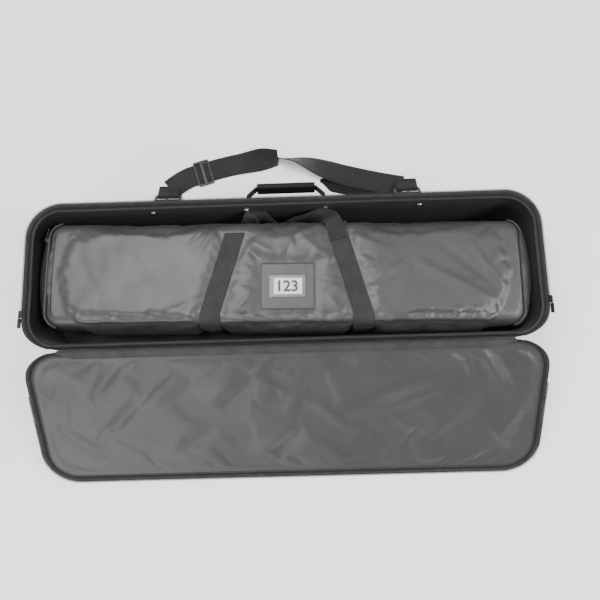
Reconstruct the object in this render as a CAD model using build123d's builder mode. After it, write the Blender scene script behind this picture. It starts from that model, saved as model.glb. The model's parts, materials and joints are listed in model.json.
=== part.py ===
from build123d import *
from math import asin, atan2, cos, degrees, hypot, radians, sin, tan
import os

# Long padded carry case for a telescope, lying open on its back with its lid hanging down in front
# and a soft padded bag inside. Millimetres, +Z up, X along the case, +Y towards the handle side.
# The origin is the middle of the tray's flat bottom.

# ---------------------------------------------------------------- driving dimensions
case_length = 1035.0      # moulded tray, outside, along X
case_depth = 293.0        # moulded tray, outside, along Y
corner_radius = 64.0      # tray corners in plan
bottom_radius = 9.2       # rounded edge round the tray's bottom
shell_wall = 3.5
shell_top = 147.5
foam_wall = 6.0
foam_top = 156.4
lining_thick = 1.0
board_thick = 2.0
floor_foam_thick = 6.0
rim_z = 157.2             # plane where the two halves of the zip meet, and the hinge line's height

tape_thick = 1.2          # zip tape, flaring out at 45 degrees all round the rim
tape_reach = 8.5          # along its slope
coil_radius = 1.5
coil_gap = 0.8            # tape's end to the coil
meet_gap = 0.2            # between the two coils where the closed zip meets

lid_near = 2.0            # lid's edge beside the hinge line, measured from that line
lid_far = 301.0           # lid's far edge, measured from the hinge line
lid_thick = 15.0          # hinge plane to the outside of the lid's cover
lid_edge_radius = 5.5
lid_cover_wall = 3.0
lid_board_thick = 1.5
lid_foam_thick = 7.0
hinge_offset = 8.0        # hinge line in front of the tray's front wall
hinge_half_length = 450.0

hardware_x = 8.0          # middle of the handle and of the strap anchors
handle_half = 82.5        # handle rivets, either side of that middle
anchor_half = 278.5       # strap rivets, either side of that middle
rivet_z = 130.0
rivet_radius = 2.6
rivet_head_radius = 5.5
rivet_head_height = 1.8
washer_radius = 8.0
washer_thick = 1.0
plate_thick = 4.0

handle_pivot_out = 11.0   # handle pin, out from the rear wall
handle_pivot_z = 112.0
handle_droop = 20.0       # degrees below level
handle_reach = 38.0       # pin to the middle of the grip
grip_length = 125.0
grip_thick = 14.0
grip_height = 26.0

webbing_thick = 1.8
strap_width = 50.0
strap_thick = 2.0
bag_webbing_width = 38.0

bag_length = 964.0        # between the corners; the ends bulge beyond this
bag_depth = 220.0
bag_height = 133.5
bag_bulge = 18.0
bag_corner = 34.0
bag_edge = 24.0
bag_turn = -1.3           # degrees, the bag lies a little askew in the tray
bag_y = -2.0
bag_cover_thick = 2.0
bag_foam_thick = 8.0

# ---------------------------------------------------------------- values worked out from them
rear_y = case_depth / 2
inner_inset = shell_wall + foam_wall
wall_total = inner_inset + lining_thick
floor_top = shell_wall + board_thick + floor_foam_thick + lining_thick
slope = sin(radians(45))
coil_reach = tape_reach + coil_gap + coil_radius
tape_base_z = rim_z - meet_gap / 2 - coil_reach * slope - coil_radius
bag_floor = floor_top + 0.2

# The open lid slopes down until the rounded edge of its cover rests on the floor.
rest_arm = hypot(lid_far - lid_edge_radius, lid_thick - lid_edge_radius)
rest_lead = atan2(lid_thick - lid_edge_radius, lid_far - lid_edge_radius)
lid_slope = asin((rim_z - lid_edge_radius) / rest_arm) - rest_lead
print("lid slope", round(degrees(lid_slope), 3), "closes at", round(-180 - degrees(lid_slope), 3))
print("tape base z", round(tape_base_z, 3), "floor top", round(floor_top, 3))

hinge_y = -rear_y - hinge_offset
lid_plane = Plane(
    origin=(0, hinge_y, rim_z),
    x_dir=(1, 0, 0),
    z_dir=(0, -sin(lid_slope), cos(lid_slope)),
)
rear_face = Plane(origin=(0, rear_y, 0), x_dir=(1, 0, 0), z_dir=(0, -1, 0))
bag_plane = Plane(
    origin=(0, bag_y, bag_floor),
    x_dir=(cos(radians(bag_turn)), sin(radians(bag_turn)), 0),
    z_dir=(0, 0, 1),
)
handle_spots = [(hardware_x - handle_half, rivet_z), (hardware_x + handle_half, rivet_z)]
anchor_spots = [(hardware_x - anchor_half, rivet_z), (hardware_x + anchor_half, rivet_z)]

os.makedirs("parts", exist_ok=True)


def save(part, label):
    """Names a finished piece and writes its file."""
    part.label = label
    export_step(part, f"parts/{label}.step")


def tray_outline(inset):
    """The tray's outline in plan, drawn in by inset all round."""
    RectangleRounded(case_length - 2 * inset, case_depth - 2 * inset, corner_radius - inset)


def ring(plane, outer_inset, inner_inset, height):
    """A wall that follows the tray's outline, standing on a plane."""
    with BuildSketch(plane) as outline:
        tray_outline(outer_inset)
        RectangleRounded(case_length - 2 * inner_inset, case_depth - 2 * inner_inset,
                         corner_radius - inner_inset, mode=Mode.SUBTRACT)
    extrude(outline.sketch, amount=height)


def cut_rivet_holes(spots):
    """Bores the rear wall for the rivets."""
    with BuildSketch(rear_face.offset(-plate_thick - 1)) as holes:
        with Locations(*spots):
            Circle(rivet_radius + 0.1)
    extrude(holes.sketch, amount=plate_thick + wall_total + 2, mode=Mode.SUBTRACT)


# ---------------------------------------------------------------- tray
with BuildPart() as base_shell:
    with BuildSketch():
        tray_outline(0)
    extrude(amount=shell_top)
    fillet(base_shell.faces().sort_by(Axis.Z)[0].edges(), radius=bottom_radius)
    offset(amount=-shell_wall, openings=base_shell.faces().sort_by(Axis.Z)[-1])
    cut_rivet_holes(handle_spots + anchor_spots)
save(base_shell.part, "base_shell")

with BuildPart() as wall_foam:
    ring(Plane.XY.offset(shell_wall), shell_wall, inner_inset, foam_top - shell_wall)
    bottom_edges = wall_foam.faces().sort_by(Axis.Z)[0].outer_wire().edges()
    fillet(bottom_edges, radius=bottom_radius - shell_wall + 0.1)
    fillet(wall_foam.faces().sort_by(Axis.Z)[-1].edges(), radius=foam_wall / 2 - 0.6)
    cut_rivet_holes(handle_spots + anchor_spots)
save(wall_foam.part, "wall_foam")

with BuildPart() as base_board:
    with BuildSketch(Plane.XY.offset(shell_wall)):
        tray_outline(inner_inset)
    extrude(amount=board_thick)
save(base_board.part, "base_board")

with BuildPart() as floor_foam:
    with BuildSketch(Plane.XY.offset(shell_wall + board_thick)):
        tray_outline(inner_inset)
    extrude(amount=floor_foam_thick)
save(floor_foam.part, "floor_foam")

with BuildPart() as floor_lining:
    with BuildSketch(Plane.XY.offset(floor_top - lining_thick)):
        tray_outline(inner_inset)
    extrude(amount=lining_thick)
save(floor_lining.part, "floor_lining")

with BuildPart() as wall_lining:
    ring(Plane.XY.offset(floor_top), inner_inset, wall_total, foam_top - foam_wall / 2 - floor_top)
    cut_rivet_holes(handle_spots + anchor_spots)
save(wall_lining.part, "wall_lining")

# Binding tape over the shell's raw edge, between the foam's rolled top and the zip tape.
binding_height = 3.4
with BuildPart() as rim_binding:
    ring(Plane.XY.offset(shell_top), 0, shell_wall, binding_height)
    fillet(rim_binding.faces().sort_by(Axis.Z)[-1].edges(), radius=1.0)
save(rim_binding.part, "rim_binding")


# ---------------------------------------------------------------- zip tapes and coils
tape_rise = tape_reach * slope
tape_across = tape_thick / slope
coil_grow = tape_across / 2 + coil_reach * slope
coil_z = tape_base_z + coil_reach * slope
tape_first_y = -rear_y + corner_radius / 2
coil_first_y = -rear_y + corner_radius + 2


def flared_tape(plane, middle_y, depth, first_y, far_sign):
    """Tape that stands on an outline and leans out at 45 degrees, cut off short of first_y."""
    for grow, mode in ((tape_across, Mode.ADD), (0, Mode.SUBTRACT)):
        with BuildSketch(plane) as outline:
            with Locations((0, middle_y)):
                RectangleRounded(case_length + 2 * grow, depth + 2 * grow, corner_radius + grow)
        extrude(outline.sketch, amount=tape_rise, taper=-45, mode=mode)
    with BuildSketch(plane) as cut:
        with Locations((0, first_y - far_sign * case_depth)):
            Rectangle(2 * case_length, 2 * case_depth)
    extrude(cut.sketch, amount=tape_rise, mode=Mode.SUBTRACT)


def coil(plane, first_y, far_y):
    """Zip coil up one side, along the far side and back down the other side."""
    half_x = case_length / 2 + coil_grow
    corners = [(-half_x, first_y), (-half_x, far_y), (half_x, far_y), (half_x, first_y)]
    with BuildLine(plane) as path:
        FilletPolyline(*corners, radius=corner_radius + coil_grow)
    with BuildSketch(Plane(origin=path.line @ 0, z_dir=path.line % 0)) as bead:
        Circle(coil_radius)
    sweep(bead.sketch, path=path.line)


with BuildPart() as base_zip_tape:
    flared_tape(Plane.XY.offset(tape_base_z), 0, case_depth, tape_first_y, 1)
save(base_zip_tape.part, "base_zip_tape")

with BuildPart() as base_zip_coil:
    coil(Plane.XY.offset(coil_z), coil_first_y, rear_y + coil_grow)
save(base_zip_coil.part, "base_zip_coil")

# ---------------------------------------------------------------- lid, in the plane of its hinge line
# On this plane -Y runs from the hinge line to the lid's far edge and +Z is the padded inner face.
lid_depth = lid_far - lid_near
lid_middle = -(lid_far + lid_near) / 2
lid_rim = -(rim_z - tape_base_z)
lid_board_w = -lid_thick + lid_cover_wall
lid_foam_w = lid_board_w + lid_board_thick
lid_lining_w = lid_foam_w + lid_foam_thick
lid_tape_first = -(tape_first_y - hinge_y)
lid_coil_first = -95.0
hinge_tape_width = 26.0
hinge_tape_thick = 1.0
hinge_tape_sewn = 6.0     # its overlap with the tray's front wall


def lid_slab(height_at, thickness, inset):
    """A layer of the lid that follows its outline."""
    with BuildSketch(lid_plane.offset(height_at)) as layer:
        with Locations((0, lid_middle)):
            RectangleRounded(case_length - 2 * inset, lid_depth - 2 * inset, corner_radius - inset)
    extrude(layer.sketch, amount=thickness)


with BuildPart() as lid_cover:
    lid_slab(-lid_thick, lid_thick + lid_rim, 0)
    outside = lid_cover.faces().sort_by(Axis(lid_plane.origin, lid_plane.z_dir))[0]
    fillet(outside.edges(), radius=lid_edge_radius)
    with BuildSketch(lid_plane.offset(lid_board_w)):
        with Locations((0, lid_middle)):
            RectangleRounded(case_length - 2 * shell_wall, lid_depth - 2 * shell_wall,
                             corner_radius - shell_wall)
    extrude(amount=lid_thick, mode=Mode.SUBTRACT)
save(lid_cover.part, "lid_cover")

with BuildPart() as lid_board:
    lid_slab(lid_board_w, lid_board_thick, shell_wall)
save(lid_board.part, "lid_board")

with BuildPart() as lid_foam:
    lid_slab(lid_foam_w, lid_foam_thick, shell_wall)
save(lid_foam.part, "lid_foam")

with BuildPart() as lid_lining:
    lid_slab(lid_lining_w, lining_thick, shell_wall)
save(lid_lining.part, "lid_lining")

with BuildPart() as lid_binding:
    with BuildSketch(lid_plane.offset(lid_rim)):
        for inset, mode in ((0, Mode.ADD), (shell_wall, Mode.SUBTRACT)):
            with Locations((0, lid_middle)):
                RectangleRounded(case_length - 2 * inset, lid_depth - 2 * inset, corner_radius - inset,
                                 mode=mode)
    extrude(amount=binding_height)
save(lid_binding.part, "lid_binding")

with BuildPart() as lid_zip_tape:
    flared_tape(lid_plane.offset(lid_rim), lid_middle, lid_depth, lid_tape_first, -1)
save(lid_zip_tape.part, "lid_zip_tape")

with BuildPart() as lid_zip_coil:
    coil(lid_plane.offset(-(rim_z - coil_z)), lid_coil_first, -lid_far - coil_grow)
save(lid_zip_coil.part, "lid_zip_coil")

# The fabric hinge is one wide tape: one half lies on the lid, the other is sewn to the tray's rim.
with BuildPart() as lid_hinge_tape:
    with BuildSketch(lid_plane.offset(lid_lining_w + lining_thick)):
        with Locations((0, -hinge_tape_width / 2 - lid_near - shell_wall)):
            Rectangle(2 * hinge_half_length, hinge_tape_width)
    extrude(amount=hinge_tape_thick)
save(lid_hinge_tape.part, "lid_hinge_tape")

with BuildPart() as base_hinge_tape:
    tape_low = shell_top - hinge_tape_sewn
    tape_bend = shell_top + hinge_tape_thick
    with BuildSketch(Plane.YZ):
        with BuildLine():
            Polyline(
                (-rear_y, tape_low), (-rear_y, tape_bend), (hinge_y + 2.2, rim_z - 1.4),
                (hinge_y + 1.4, rim_z - 2.2), (-rear_y - hinge_tape_thick, tape_bend),
                (-rear_y - hinge_tape_thick, tape_low), close=True,
            )
        make_face()
    extrude(amount=hinge_half_length, both=True)
save(base_hinge_tape.part, "base_hinge_tape")

# ---------------------------------------------------------------- zip sliders and their pulls
# Each slider is a channel that straddles the coil, tilted with the tape. Local X runs out along
# the tape, local Y down and out from its outer face, and the slider travels along the case's Y.
slider_length = 14.0
slider_y = -rear_y + corner_radius + 8.0
channel_in = 7.4
channel_out = 14.0
channel_half = 2.7
plate_gap = 1.8
bridge_in = channel_out - 1.4
ear_height = 2.4
ear_thick = 0.9
ear_half = 2.15           # ears, either side of the pull's neck
ear_length = 3.0
pull_x = (channel_in + channel_out) / 2
pull_rise = 1.3           # pull's pin above the slider
pull_neck = 3.0
neck_length = 8.0
pull_width = 6.6
pull_length = 27.0
pull_thick = 1.3


def slider_plane(side):
    return Plane(
        origin=(side * (case_length / 2 + tape_across / 2), slider_y, tape_base_z),
        x_dir=(side * slope, 0, slope),
        z_dir=(0, side, 0),
    )


def zip_slider(side):
    """Channel, with two small ears whose pin the pull swings on."""
    with BuildPart() as slider:
        with BuildSketch(slider_plane(side)):
            with BuildLine():
                Polyline(
                    (channel_in, -channel_half), (channel_out, -channel_half),
                    (channel_out, channel_half), (channel_in, channel_half),
                    (channel_in, plate_gap), (bridge_in, plate_gap),
                    (bridge_in, -plate_gap), (channel_in, -plate_gap), close=True,
                )
            make_face()
        extrude(amount=slider_length / 2, both=True)
        with BuildSketch(slider_plane(side).offset(-ear_length / 2)):
            for ear_x in (pull_x - ear_half, pull_x + ear_half):
                with Locations((ear_x, channel_half + ear_height / 2)):
                    Rectangle(ear_thick, ear_height)
        extrude(amount=ear_length)
    return slider.part


def zip_pull(side):
    """Flat pull, lying back along the tape with its narrow end between the slider's ears."""
    with BuildPart() as pull:
        for start, end, width in ((0, neck_length, pull_neck), (neck_length, pull_length, pull_width)):
            with BuildSketch(slider_plane(side).offset(-side * start)):
                with Locations((pull_x, channel_half + pull_rise)):
                    Rectangle(width, pull_thick)
            extrude(amount=-side * (end - start))
    return pull.part


for side, name in ((-1, "left"), (1, "right")):
    save(zip_slider(side), f"zip_slider_{name}")
    save(zip_pull(side), f"zip_pull_{name}")

# ---------------------------------------------------------------- rivets and handle
pivot_y = rear_y + handle_pivot_out
washer_clear = 0.1
ear_radius = 6.0
handle_ear_in = 8.0       # inside faces of a plate's ears, either side of its middle
handle_ear_thick = 3.0
eye_radius = 4.8
pin_radius = 2.25
pin_clearance = 0.08
core_thick = 4.0
core_half = 6.0
plate_width = 38.0
plate_low = 99.0
plate_high = 141.0
plate_corner = 6.0
arm_start = 1.0           # where the handle's arms leave their pins
arm_straight = 16.0
arm_bend = 7.0
grip_overlap = 1.0        # core past each end of the grip
eye_gap = 0.3             # between the core's eyes and the plates' ears


def rivets(spots):
    """Rivets through the rear wall, a head outside on the plate and one inside on a washer."""
    with BuildPart() as group:
        for depth_at, radius, length in (
            (-plate_thick - rivet_head_height, rivet_head_radius, rivet_head_height),
            (-plate_thick, rivet_radius, plate_thick + wall_total + washer_thick),
            (wall_total + washer_thick, rivet_head_radius, rivet_head_height),
        ):
            with BuildSketch(rear_face.offset(depth_at)):
                with Locations(*spots):
                    Circle(radius)
            extrude(amount=length)
    return group.part


save(rivets(handle_spots), "handle_rivets")
save(rivets(anchor_spots), "strap_rivets")

with BuildPart() as rivet_washers:
    with BuildSketch(rear_face.offset(wall_total)):
        with Locations(*handle_spots, *anchor_spots):
            Circle(washer_radius)
        with Locations(*handle_spots, *anchor_spots):
            Circle(rivet_radius + washer_clear, mode=Mode.SUBTRACT)
    extrude(amount=washer_thick)
save(rivet_washers.part, "rivet_washers")

with BuildPart() as handle_plates:
    with BuildSketch(rear_face.offset(-plate_thick)):
        for spot_x, _ in handle_spots:
            with Locations((spot_x, (plate_low + plate_high) / 2)):
                RectangleRounded(plate_width, plate_high - plate_low, plate_corner)
    extrude(amount=plate_thick)
    for spot_x, _ in handle_spots:
        for ear_x in (spot_x - handle_ear_in - handle_ear_thick, spot_x + handle_ear_in):
            with BuildSketch(Plane.YZ.offset(ear_x)):
                with Locations((pivot_y, handle_pivot_z)):
                    Circle(ear_radius)
                with Locations(((rear_y + plate_thick + pivot_y) / 2, handle_pivot_z)):
                    Rectangle(pivot_y - rear_y - plate_thick, 2 * ear_radius)
                with Locations((pivot_y, handle_pivot_z)):
                    Circle(pin_radius + pin_clearance, mode=Mode.SUBTRACT)
            extrude(amount=handle_ear_thick)
    cut_rivet_holes(handle_spots)
save(handle_plates.part, "handle_plates")

pin_half = handle_ear_in + handle_ear_thick + 1.0
with BuildPart() as handle_pins:
    for spot_x, _ in handle_spots:
        with BuildSketch(Plane.YZ.offset(spot_x - pin_half)):
            with Locations((pivot_y, handle_pivot_z)):
                Circle(pin_radius)
        extrude(amount=2 * pin_half)
save(handle_pins.part, "handle_pins")

droop = radians(handle_droop)
core_end = grip_length / 2 + grip_overlap
eye_length = 2 * (handle_ear_in - eye_gap)
handle_plane = Plane(
    origin=(hardware_x, pivot_y, handle_pivot_z),
    x_dir=(1, 0, 0),
    z_dir=(0, sin(droop), cos(droop)),
)
with BuildPart() as handle_core:
    with BuildSketch(handle_plane):
        with BuildLine():
            FilletPolyline(
                (-handle_half, arm_start), (-handle_half, arm_straight), (-core_end, handle_reach),
                (core_end, handle_reach), (handle_half, arm_straight), (handle_half, arm_start),
                radius=arm_bend,
            )
        trace(line_width=core_thick)
    extrude(amount=core_half, both=True)
    for side in (-1, 1):
        eye_plane = Plane(
            origin=(hardware_x + side * handle_half - handle_ear_in + eye_gap, pivot_y, handle_pivot_z),
            z_dir=(1, 0, 0),
        )
        with BuildSketch(eye_plane):
            Circle(eye_radius)
        extrude(amount=eye_length)
        with BuildSketch(eye_plane):
            Circle(pin_radius + pin_clearance)
        extrude(amount=eye_length, mode=Mode.SUBTRACT)
save(handle_core.part, "handle_core")

grip_plane = Plane(
    origin=handle_plane.from_local_coords(Vector(-grip_length / 2, handle_reach, 0)),
    x_dir=handle_plane.y_dir,
    z_dir=(1, 0, 0),
)
with BuildPart() as handle_grip:
    with BuildSketch(grip_plane):
        RectangleRounded(grip_thick, grip_height, grip_thick / 2 - 1)
    extrude(amount=grip_length)
    fillet(handle_grip.faces().filter_by(Axis.X).edges(), radius=3)
    add(handle_core.part, mode=Mode.SUBTRACT)
save(handle_grip.part, "handle_grip")

# ---------------------------------------------------------------- strap anchors, D-rings and hooks
tab_width = 38.0
tab_loop_z = 84.0
tab_loop_radius = 5.0
ring_wire = 2.4
ring_half = 22.0
ring_drop = 31.0
ring_tilt = radians(25)
loop_y = rear_y + tab_loop_radius
hook_fall = radians(41.5)
hook_half_thick = 4.0
hook_length = 42.0
hook_width = 22.0
hook_wall = 5.0
ring_in_hook = 9.0        # ring wire's middle to the hook's near end
gate_x = 22.0             # gate's pivot, along the hook
gate_half = 2.3
shank_radius = 3.5
shank_end = 43.5
collar_start = 38.0
collar_end = 47.0
frame_near = 46.0
frame_far = 73.0
frame_bar = 5.0
frame_opening = 52.0
collar_radius = 6.5
shank_clear = 0.15
gap_start = 4.0           # where the hook's eye opens, along the hook
gate_clear = 0.5
shank_overlap = 1.5       # how far the shank starts inside the hook's end
bar_along = frame_far - frame_bar / 2
gate_y = hook_width / 2 - hook_wall / 2
shank_start = hook_length - ring_in_hook - shank_overlap


def ring_plane(anchor_x):
    return Plane(
        origin=(anchor_x, loop_y, tab_loop_z),
        x_dir=(1, 0, 0),
        z_dir=(0, cos(ring_tilt), sin(ring_tilt)),
    )


def hook_plane(anchor_x):
    """Local X runs down the hook from the ring's wire, local Y up and out, Z along the case."""
    return Plane(
        origin=(anchor_x, loop_y + ring_drop * sin(ring_tilt), tab_loop_z - ring_drop * cos(ring_tilt)),
        x_dir=(0, cos(hook_fall), -sin(hook_fall)),
        z_dir=(1, 0, 0),
    )


bar_y = hook_plane(0).from_local_coords(Vector(bar_along, 0, 0)).Y
bar_z = hook_plane(0).from_local_coords(Vector(bar_along, 0, 0)).Z
print("hook bar at y", round(bar_y, 2), "z", round(bar_z, 2))

with BuildPart() as strap_tabs:
    for anchor_x, _ in anchor_spots:
        with BuildSketch(Plane.YZ.offset(anchor_x - tab_width / 2)):
            with BuildLine():
                Polyline((rear_y, tab_loop_z), (rear_y, plate_high), (rear_y + plate_thick, plate_high),
                         (rear_y + plate_thick, tab_loop_z), close=True)
            make_face()
            with Locations((loop_y, tab_loop_z)):
                Circle(tab_loop_radius)
                Circle(ring_wire + 0.4, mode=Mode.SUBTRACT)
        extrude(amount=tab_width)
    cut_rivet_holes(anchor_spots)
save(strap_tabs.part, "strap_tabs")

with BuildPart() as d_rings:
    for anchor_x, _ in anchor_spots:
        with BuildLine(ring_plane(anchor_x)) as ring_path:
            FilletPolyline(
                (-ring_half, 0), (ring_half, 0), (ring_half, ring_drop), (-ring_half, ring_drop),
                radius=[4, 4, ring_half - 2, ring_half - 2], close=True,
            )
        with BuildSketch(Plane(origin=ring_path.line @ 0, z_dir=ring_path.line % 0)) as wire:
            Circle(ring_wire)
        sweep(wire.sketch, path=ring_path.line)
save(d_rings.part, "d_rings")


def snap_hook(anchor_x):
    """Hook body with its shank, the eye open on one side where the gate closes it."""
    with BuildPart() as hook:
        with BuildSketch(hook_plane(anchor_x)):
            with Locations((hook_length / 2 - ring_in_hook, 0)):
                SlotOverall(hook_length, hook_width)
                SlotOverall(hook_length - 2 * hook_wall, hook_width - 2 * hook_wall, mode=Mode.SUBTRACT)
            gap_end = gate_x + gate_half + gate_clear
            with Locations(((gap_start + gap_end) / 2, gate_y)):
                Rectangle(gap_end - gap_start, hook_wall + gate_clear, mode=Mode.SUBTRACT)
        extrude(amount=hook_half_thick, both=True)
        shank = Plane(
            origin=hook_plane(anchor_x).from_local_coords(Vector(shank_start, 0, 0)),
            z_dir=hook_plane(anchor_x).x_dir,
        )
        with BuildSketch(shank):
            Circle(shank_radius)
        extrude(amount=shank_end - shank_start)
    return hook.part


def hook_gate(anchor_x):
    """Sprung gate that closes the hook's eye."""
    with BuildPart() as gate:
        with BuildSketch(hook_plane(anchor_x)):
            gate_end = gap_start + gate_clear
            with Locations((gate_x, gate_y)):
                Circle(gate_half)
            with Locations(((gate_end + gate_x) / 2, gate_y)):
                Rectangle(gate_x - gate_end, 2 * gate_half)
        extrude(amount=hook_half_thick - gate_clear, both=True)
    return gate.part


def swivel(anchor_x):
    """Collar that turns on the hook's shank, with the frame that the strap's webbing loops round."""
    collar = Plane(
        origin=hook_plane(anchor_x).from_local_coords(Vector(collar_start, 0, 0)),
        z_dir=hook_plane(anchor_x).x_dir,
    )
    frame = Plane(
        origin=hook_plane(anchor_x).from_local_coords(Vector((frame_near + frame_far) / 2, 0, 0)),
        x_dir=(1, 0, 0),
        z_dir=hook_plane(anchor_x).y_dir,
    )
    with BuildPart() as eye:
        with BuildSketch(frame):
            RectangleRounded(frame_opening + 2 * frame_bar, frame_far - frame_near, 4)
            Rectangle(frame_opening, frame_far - frame_near - 2 * frame_bar, mode=Mode.SUBTRACT)
        extrude(amount=frame_bar / 2, both=True)
        with BuildSketch(collar):
            Circle(collar_radius)
        extrude(amount=collar_end - collar_start)
        with BuildSketch(collar):
            Circle(shank_radius + shank_clear)
        extrude(amount=shank_end + shank_clear - collar_start, mode=Mode.SUBTRACT)
    return eye.part


for (anchor_x, _), name in zip(anchor_spots, ("left", "right")):
    save(snap_hook(anchor_x), f"snap_hook_{name}")
    save(hook_gate(anchor_x), f"hook_gate_{name}")
    save(swivel(anchor_x), f"hook_swivel_{name}")

# ---------------------------------------------------------------- shoulder strap, flat on the floor
# Webbing runs from one hook's bar round behind the case to the other. These are its middle's
# points in plan, and its two ends widen into the folds that come off the hooks' bars.
strap_route = [
    (-236, 262), (-190, 275), (-140, 289), (-84, 298), (-28, 299),
    (34, 292), (86, 277), (136, 260), (196, 244), (252, 231),
]
fold_radius = 5.8
bar_clear = 3.8
fold_y = bar_y + 11.0
adjuster_turn = radians(16)
adjuster_length = 38.0
adjuster_rail = 6.0       # either side of the webbing
adjuster_corner = 4.0
adjuster_slot_at = 9.5
adjuster_slot = (11.0, strap_width + 2)
adjuster_thick = 3.5
adjuster_round = 0.8


def corner_radii(points):
    """For each inner point, the radius of the largest arc that leaves its shorter run room."""
    radii = []
    for before, at, after in zip(points, points[1:], points[2:]):
        run_in = Vector(at) - Vector(before)
        run_out = Vector(after) - Vector(at)
        half_turn = radians(run_in.get_angle(run_out)) / 2
        radii.append(0.45 * min(run_in.length, run_out.length) / tan(half_turn))
    return radii


strap_radii = corner_radii([Vector(x, y, 0) for x, y in strap_route])
print("strap radii", [round(r) for r in strap_radii])


def end_section(point, neighbour):
    """The two corners of the webbing's edge at one end of its route."""
    across = (Vector(*point) - Vector(*neighbour)).normalized().rotate(Axis.Z, 90) * (strap_width / 2)
    return [Vector(*point) + across, Vector(*point) - across]


near_left = end_section(strap_route[0], strap_route[1])
near_right = end_section(strap_route[-1], strap_route[-2])
left_x, right_x = anchor_spots[0][0], anchor_spots[1][0]
with BuildPart() as strap_webbing:
    with BuildSketch():
        with BuildLine():
            FilletPolyline(*strap_route, radius=strap_radii)
        trace(line_width=strap_width)
    extrude(amount=strap_thick)
    for anchor_x, outward, (last, first) in ((left_x, 1, near_left[::-1]), (right_x, -1, near_right)):
        with BuildSketch():
            with BuildLine():
                Polyline(
                    (anchor_x - outward * strap_width / 2, fold_y),
                    (anchor_x + outward * strap_width / 2, fold_y),
                    (first.X, first.Y), (last.X, last.Y), close=True,
                )
            make_face()
        extrude(amount=strap_thick)
save(strap_webbing.part, "strap_webbing")

with BuildPart() as strap_folds:
    for anchor_x, _ in anchor_spots:
        with BuildSketch(Plane.YZ.offset(anchor_x - strap_width / 2)):
            with BuildLine():
                Line((bar_y, bar_z + fold_radius), (fold_y, 2 * strap_thick))
                Line((fold_y, 2 * strap_thick), (fold_y, 0))
                Line((fold_y, 0), (bar_y, bar_z - fold_radius))
                Line((bar_y, bar_z - fold_radius), (bar_y, bar_z + fold_radius))
            make_face()
            with Locations((bar_y, bar_z)):
                Circle(fold_radius)
                Circle(bar_clear, mode=Mode.SUBTRACT)
        extrude(amount=strap_width)
save(strap_folds.part, "strap_folds")

adjuster_plane = Plane(
    origin=(*strap_route[1], strap_thick),
    x_dir=(cos(adjuster_turn), sin(adjuster_turn), 0),
    z_dir=(0, 0, 1),
)
with BuildPart() as strap_adjuster:
    with BuildSketch(adjuster_plane):
        RectangleRounded(adjuster_length, strap_width + 2 * adjuster_rail, adjuster_corner)
        with Locations((-adjuster_slot_at, 0), (adjuster_slot_at, 0)):
            Rectangle(*adjuster_slot, mode=Mode.SUBTRACT)
    extrude(amount=adjuster_thick)
    fillet(strap_adjuster.faces().sort_by(Axis.Z)[-1].edges(), radius=adjuster_round)
save(strap_adjuster.part, "strap_adjuster")

# ---------------------------------------------------------------- bag
bag_half_x = bag_length / 2
bag_half_y = bag_depth / 2
end_radius = (bag_half_y ** 2 + bag_bulge ** 2) / (2 * bag_bulge)


def bag_outline(inset):
    """The bag in plan: straight front and rear, ends that bulge on an arc, rounded corners."""
    half_y = bag_half_y - inset
    tip = bag_half_x + bag_bulge - inset
    corner_x = tip - end_radius + inset + ((end_radius - inset) ** 2 - half_y ** 2) ** 0.5
    with BuildLine() as edge:
        for side in (-1, 1):
            ThreePointArc((side * corner_x, -half_y), (side * tip, 0), (side * corner_x, half_y))
            Line((-corner_x, side * half_y), (corner_x, side * half_y))
    return edge


def bag_layer(outer_inset, inner_inset):
    """One closed layer of the padded bag, hollow inside."""
    with BuildPart() as layer:
        for inset, mode in ((outer_inset, Mode.ADD), (inner_inset, Mode.SUBTRACT)):
            with BuildSketch(bag_plane.offset(inset)) as plan:
                edge = bag_outline(inset)
                make_face(edge.edges())
                fillet(plan.vertices(), radius=bag_corner - inset)
            with BuildPart(mode=Mode.PRIVATE) as block:
                extrude(plan.sketch, amount=bag_height - 2 * inset)
                ends = block.faces().sort_by(Axis.Z)
                fillet(ends[0].edges() + ends[-1].edges(), radius=bag_edge - inset)
            add(block.part, mode=mode)
    return layer.part


bag_layers = (
    ("bag_cover", 0, bag_cover_thick),
    ("bag_foam", bag_cover_thick, bag_cover_thick + bag_foam_thick),
    ("bag_lining", bag_cover_thick + bag_foam_thick, bag_cover_thick + bag_foam_thick + lining_thick),
)
for name, outer_inset, inner_inset in bag_layers:
    save(bag_layer(outer_inset, inner_inset), name)


# Piping and the zip follow the bag's bulging ends, on the rounded edge between its top and its end.
piping_radius = 1.7
zip_tape_width = 10.0
zip_tape_thick = 0.8
bag_coil_radius = 1.4
zip_angle = 45.0          # degrees round the rounded edge, from the end face to the top
piping_angles = (14.0, 78.0)


def end_path(side, angle, lift):
    """Line along one end of the bag, at an angle round its rounded edge and lifted off the cover."""
    reach = bag_edge + lift
    inset = bag_edge - reach * cos(radians(angle))
    height_at = bag_height - bag_edge + reach * sin(radians(angle))
    with BuildSketch(bag_plane.offset(height_at)) as plan:
        edge = bag_outline(inset)
        make_face(edge.edges())
        fillet(plan.vertices(), radius=bag_corner - inset)
    arcs = plan.sketch.edges().filter_by(GeomType.CIRCLE).sort_by(Axis.X)
    return Wire(arcs[:3] if side < 0 else arcs[-3:])


def end_bead(side, angle, lift, radius):
    """Round bead along one end of the bag."""
    path = end_path(side, angle, lift)
    with BuildSketch(Plane(origin=path @ 0, z_dir=path % 0)) as section:
        Circle(radius)
    sweep(section.sketch, path=path)


for side, name in ((-1, "left"), (1, "right")):
    with BuildPart() as bag_piping:
        for angle in piping_angles:
            end_bead(side, angle, piping_radius + 0.1, piping_radius)
    save(bag_piping.part, f"bag_piping_{name}")

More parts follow.
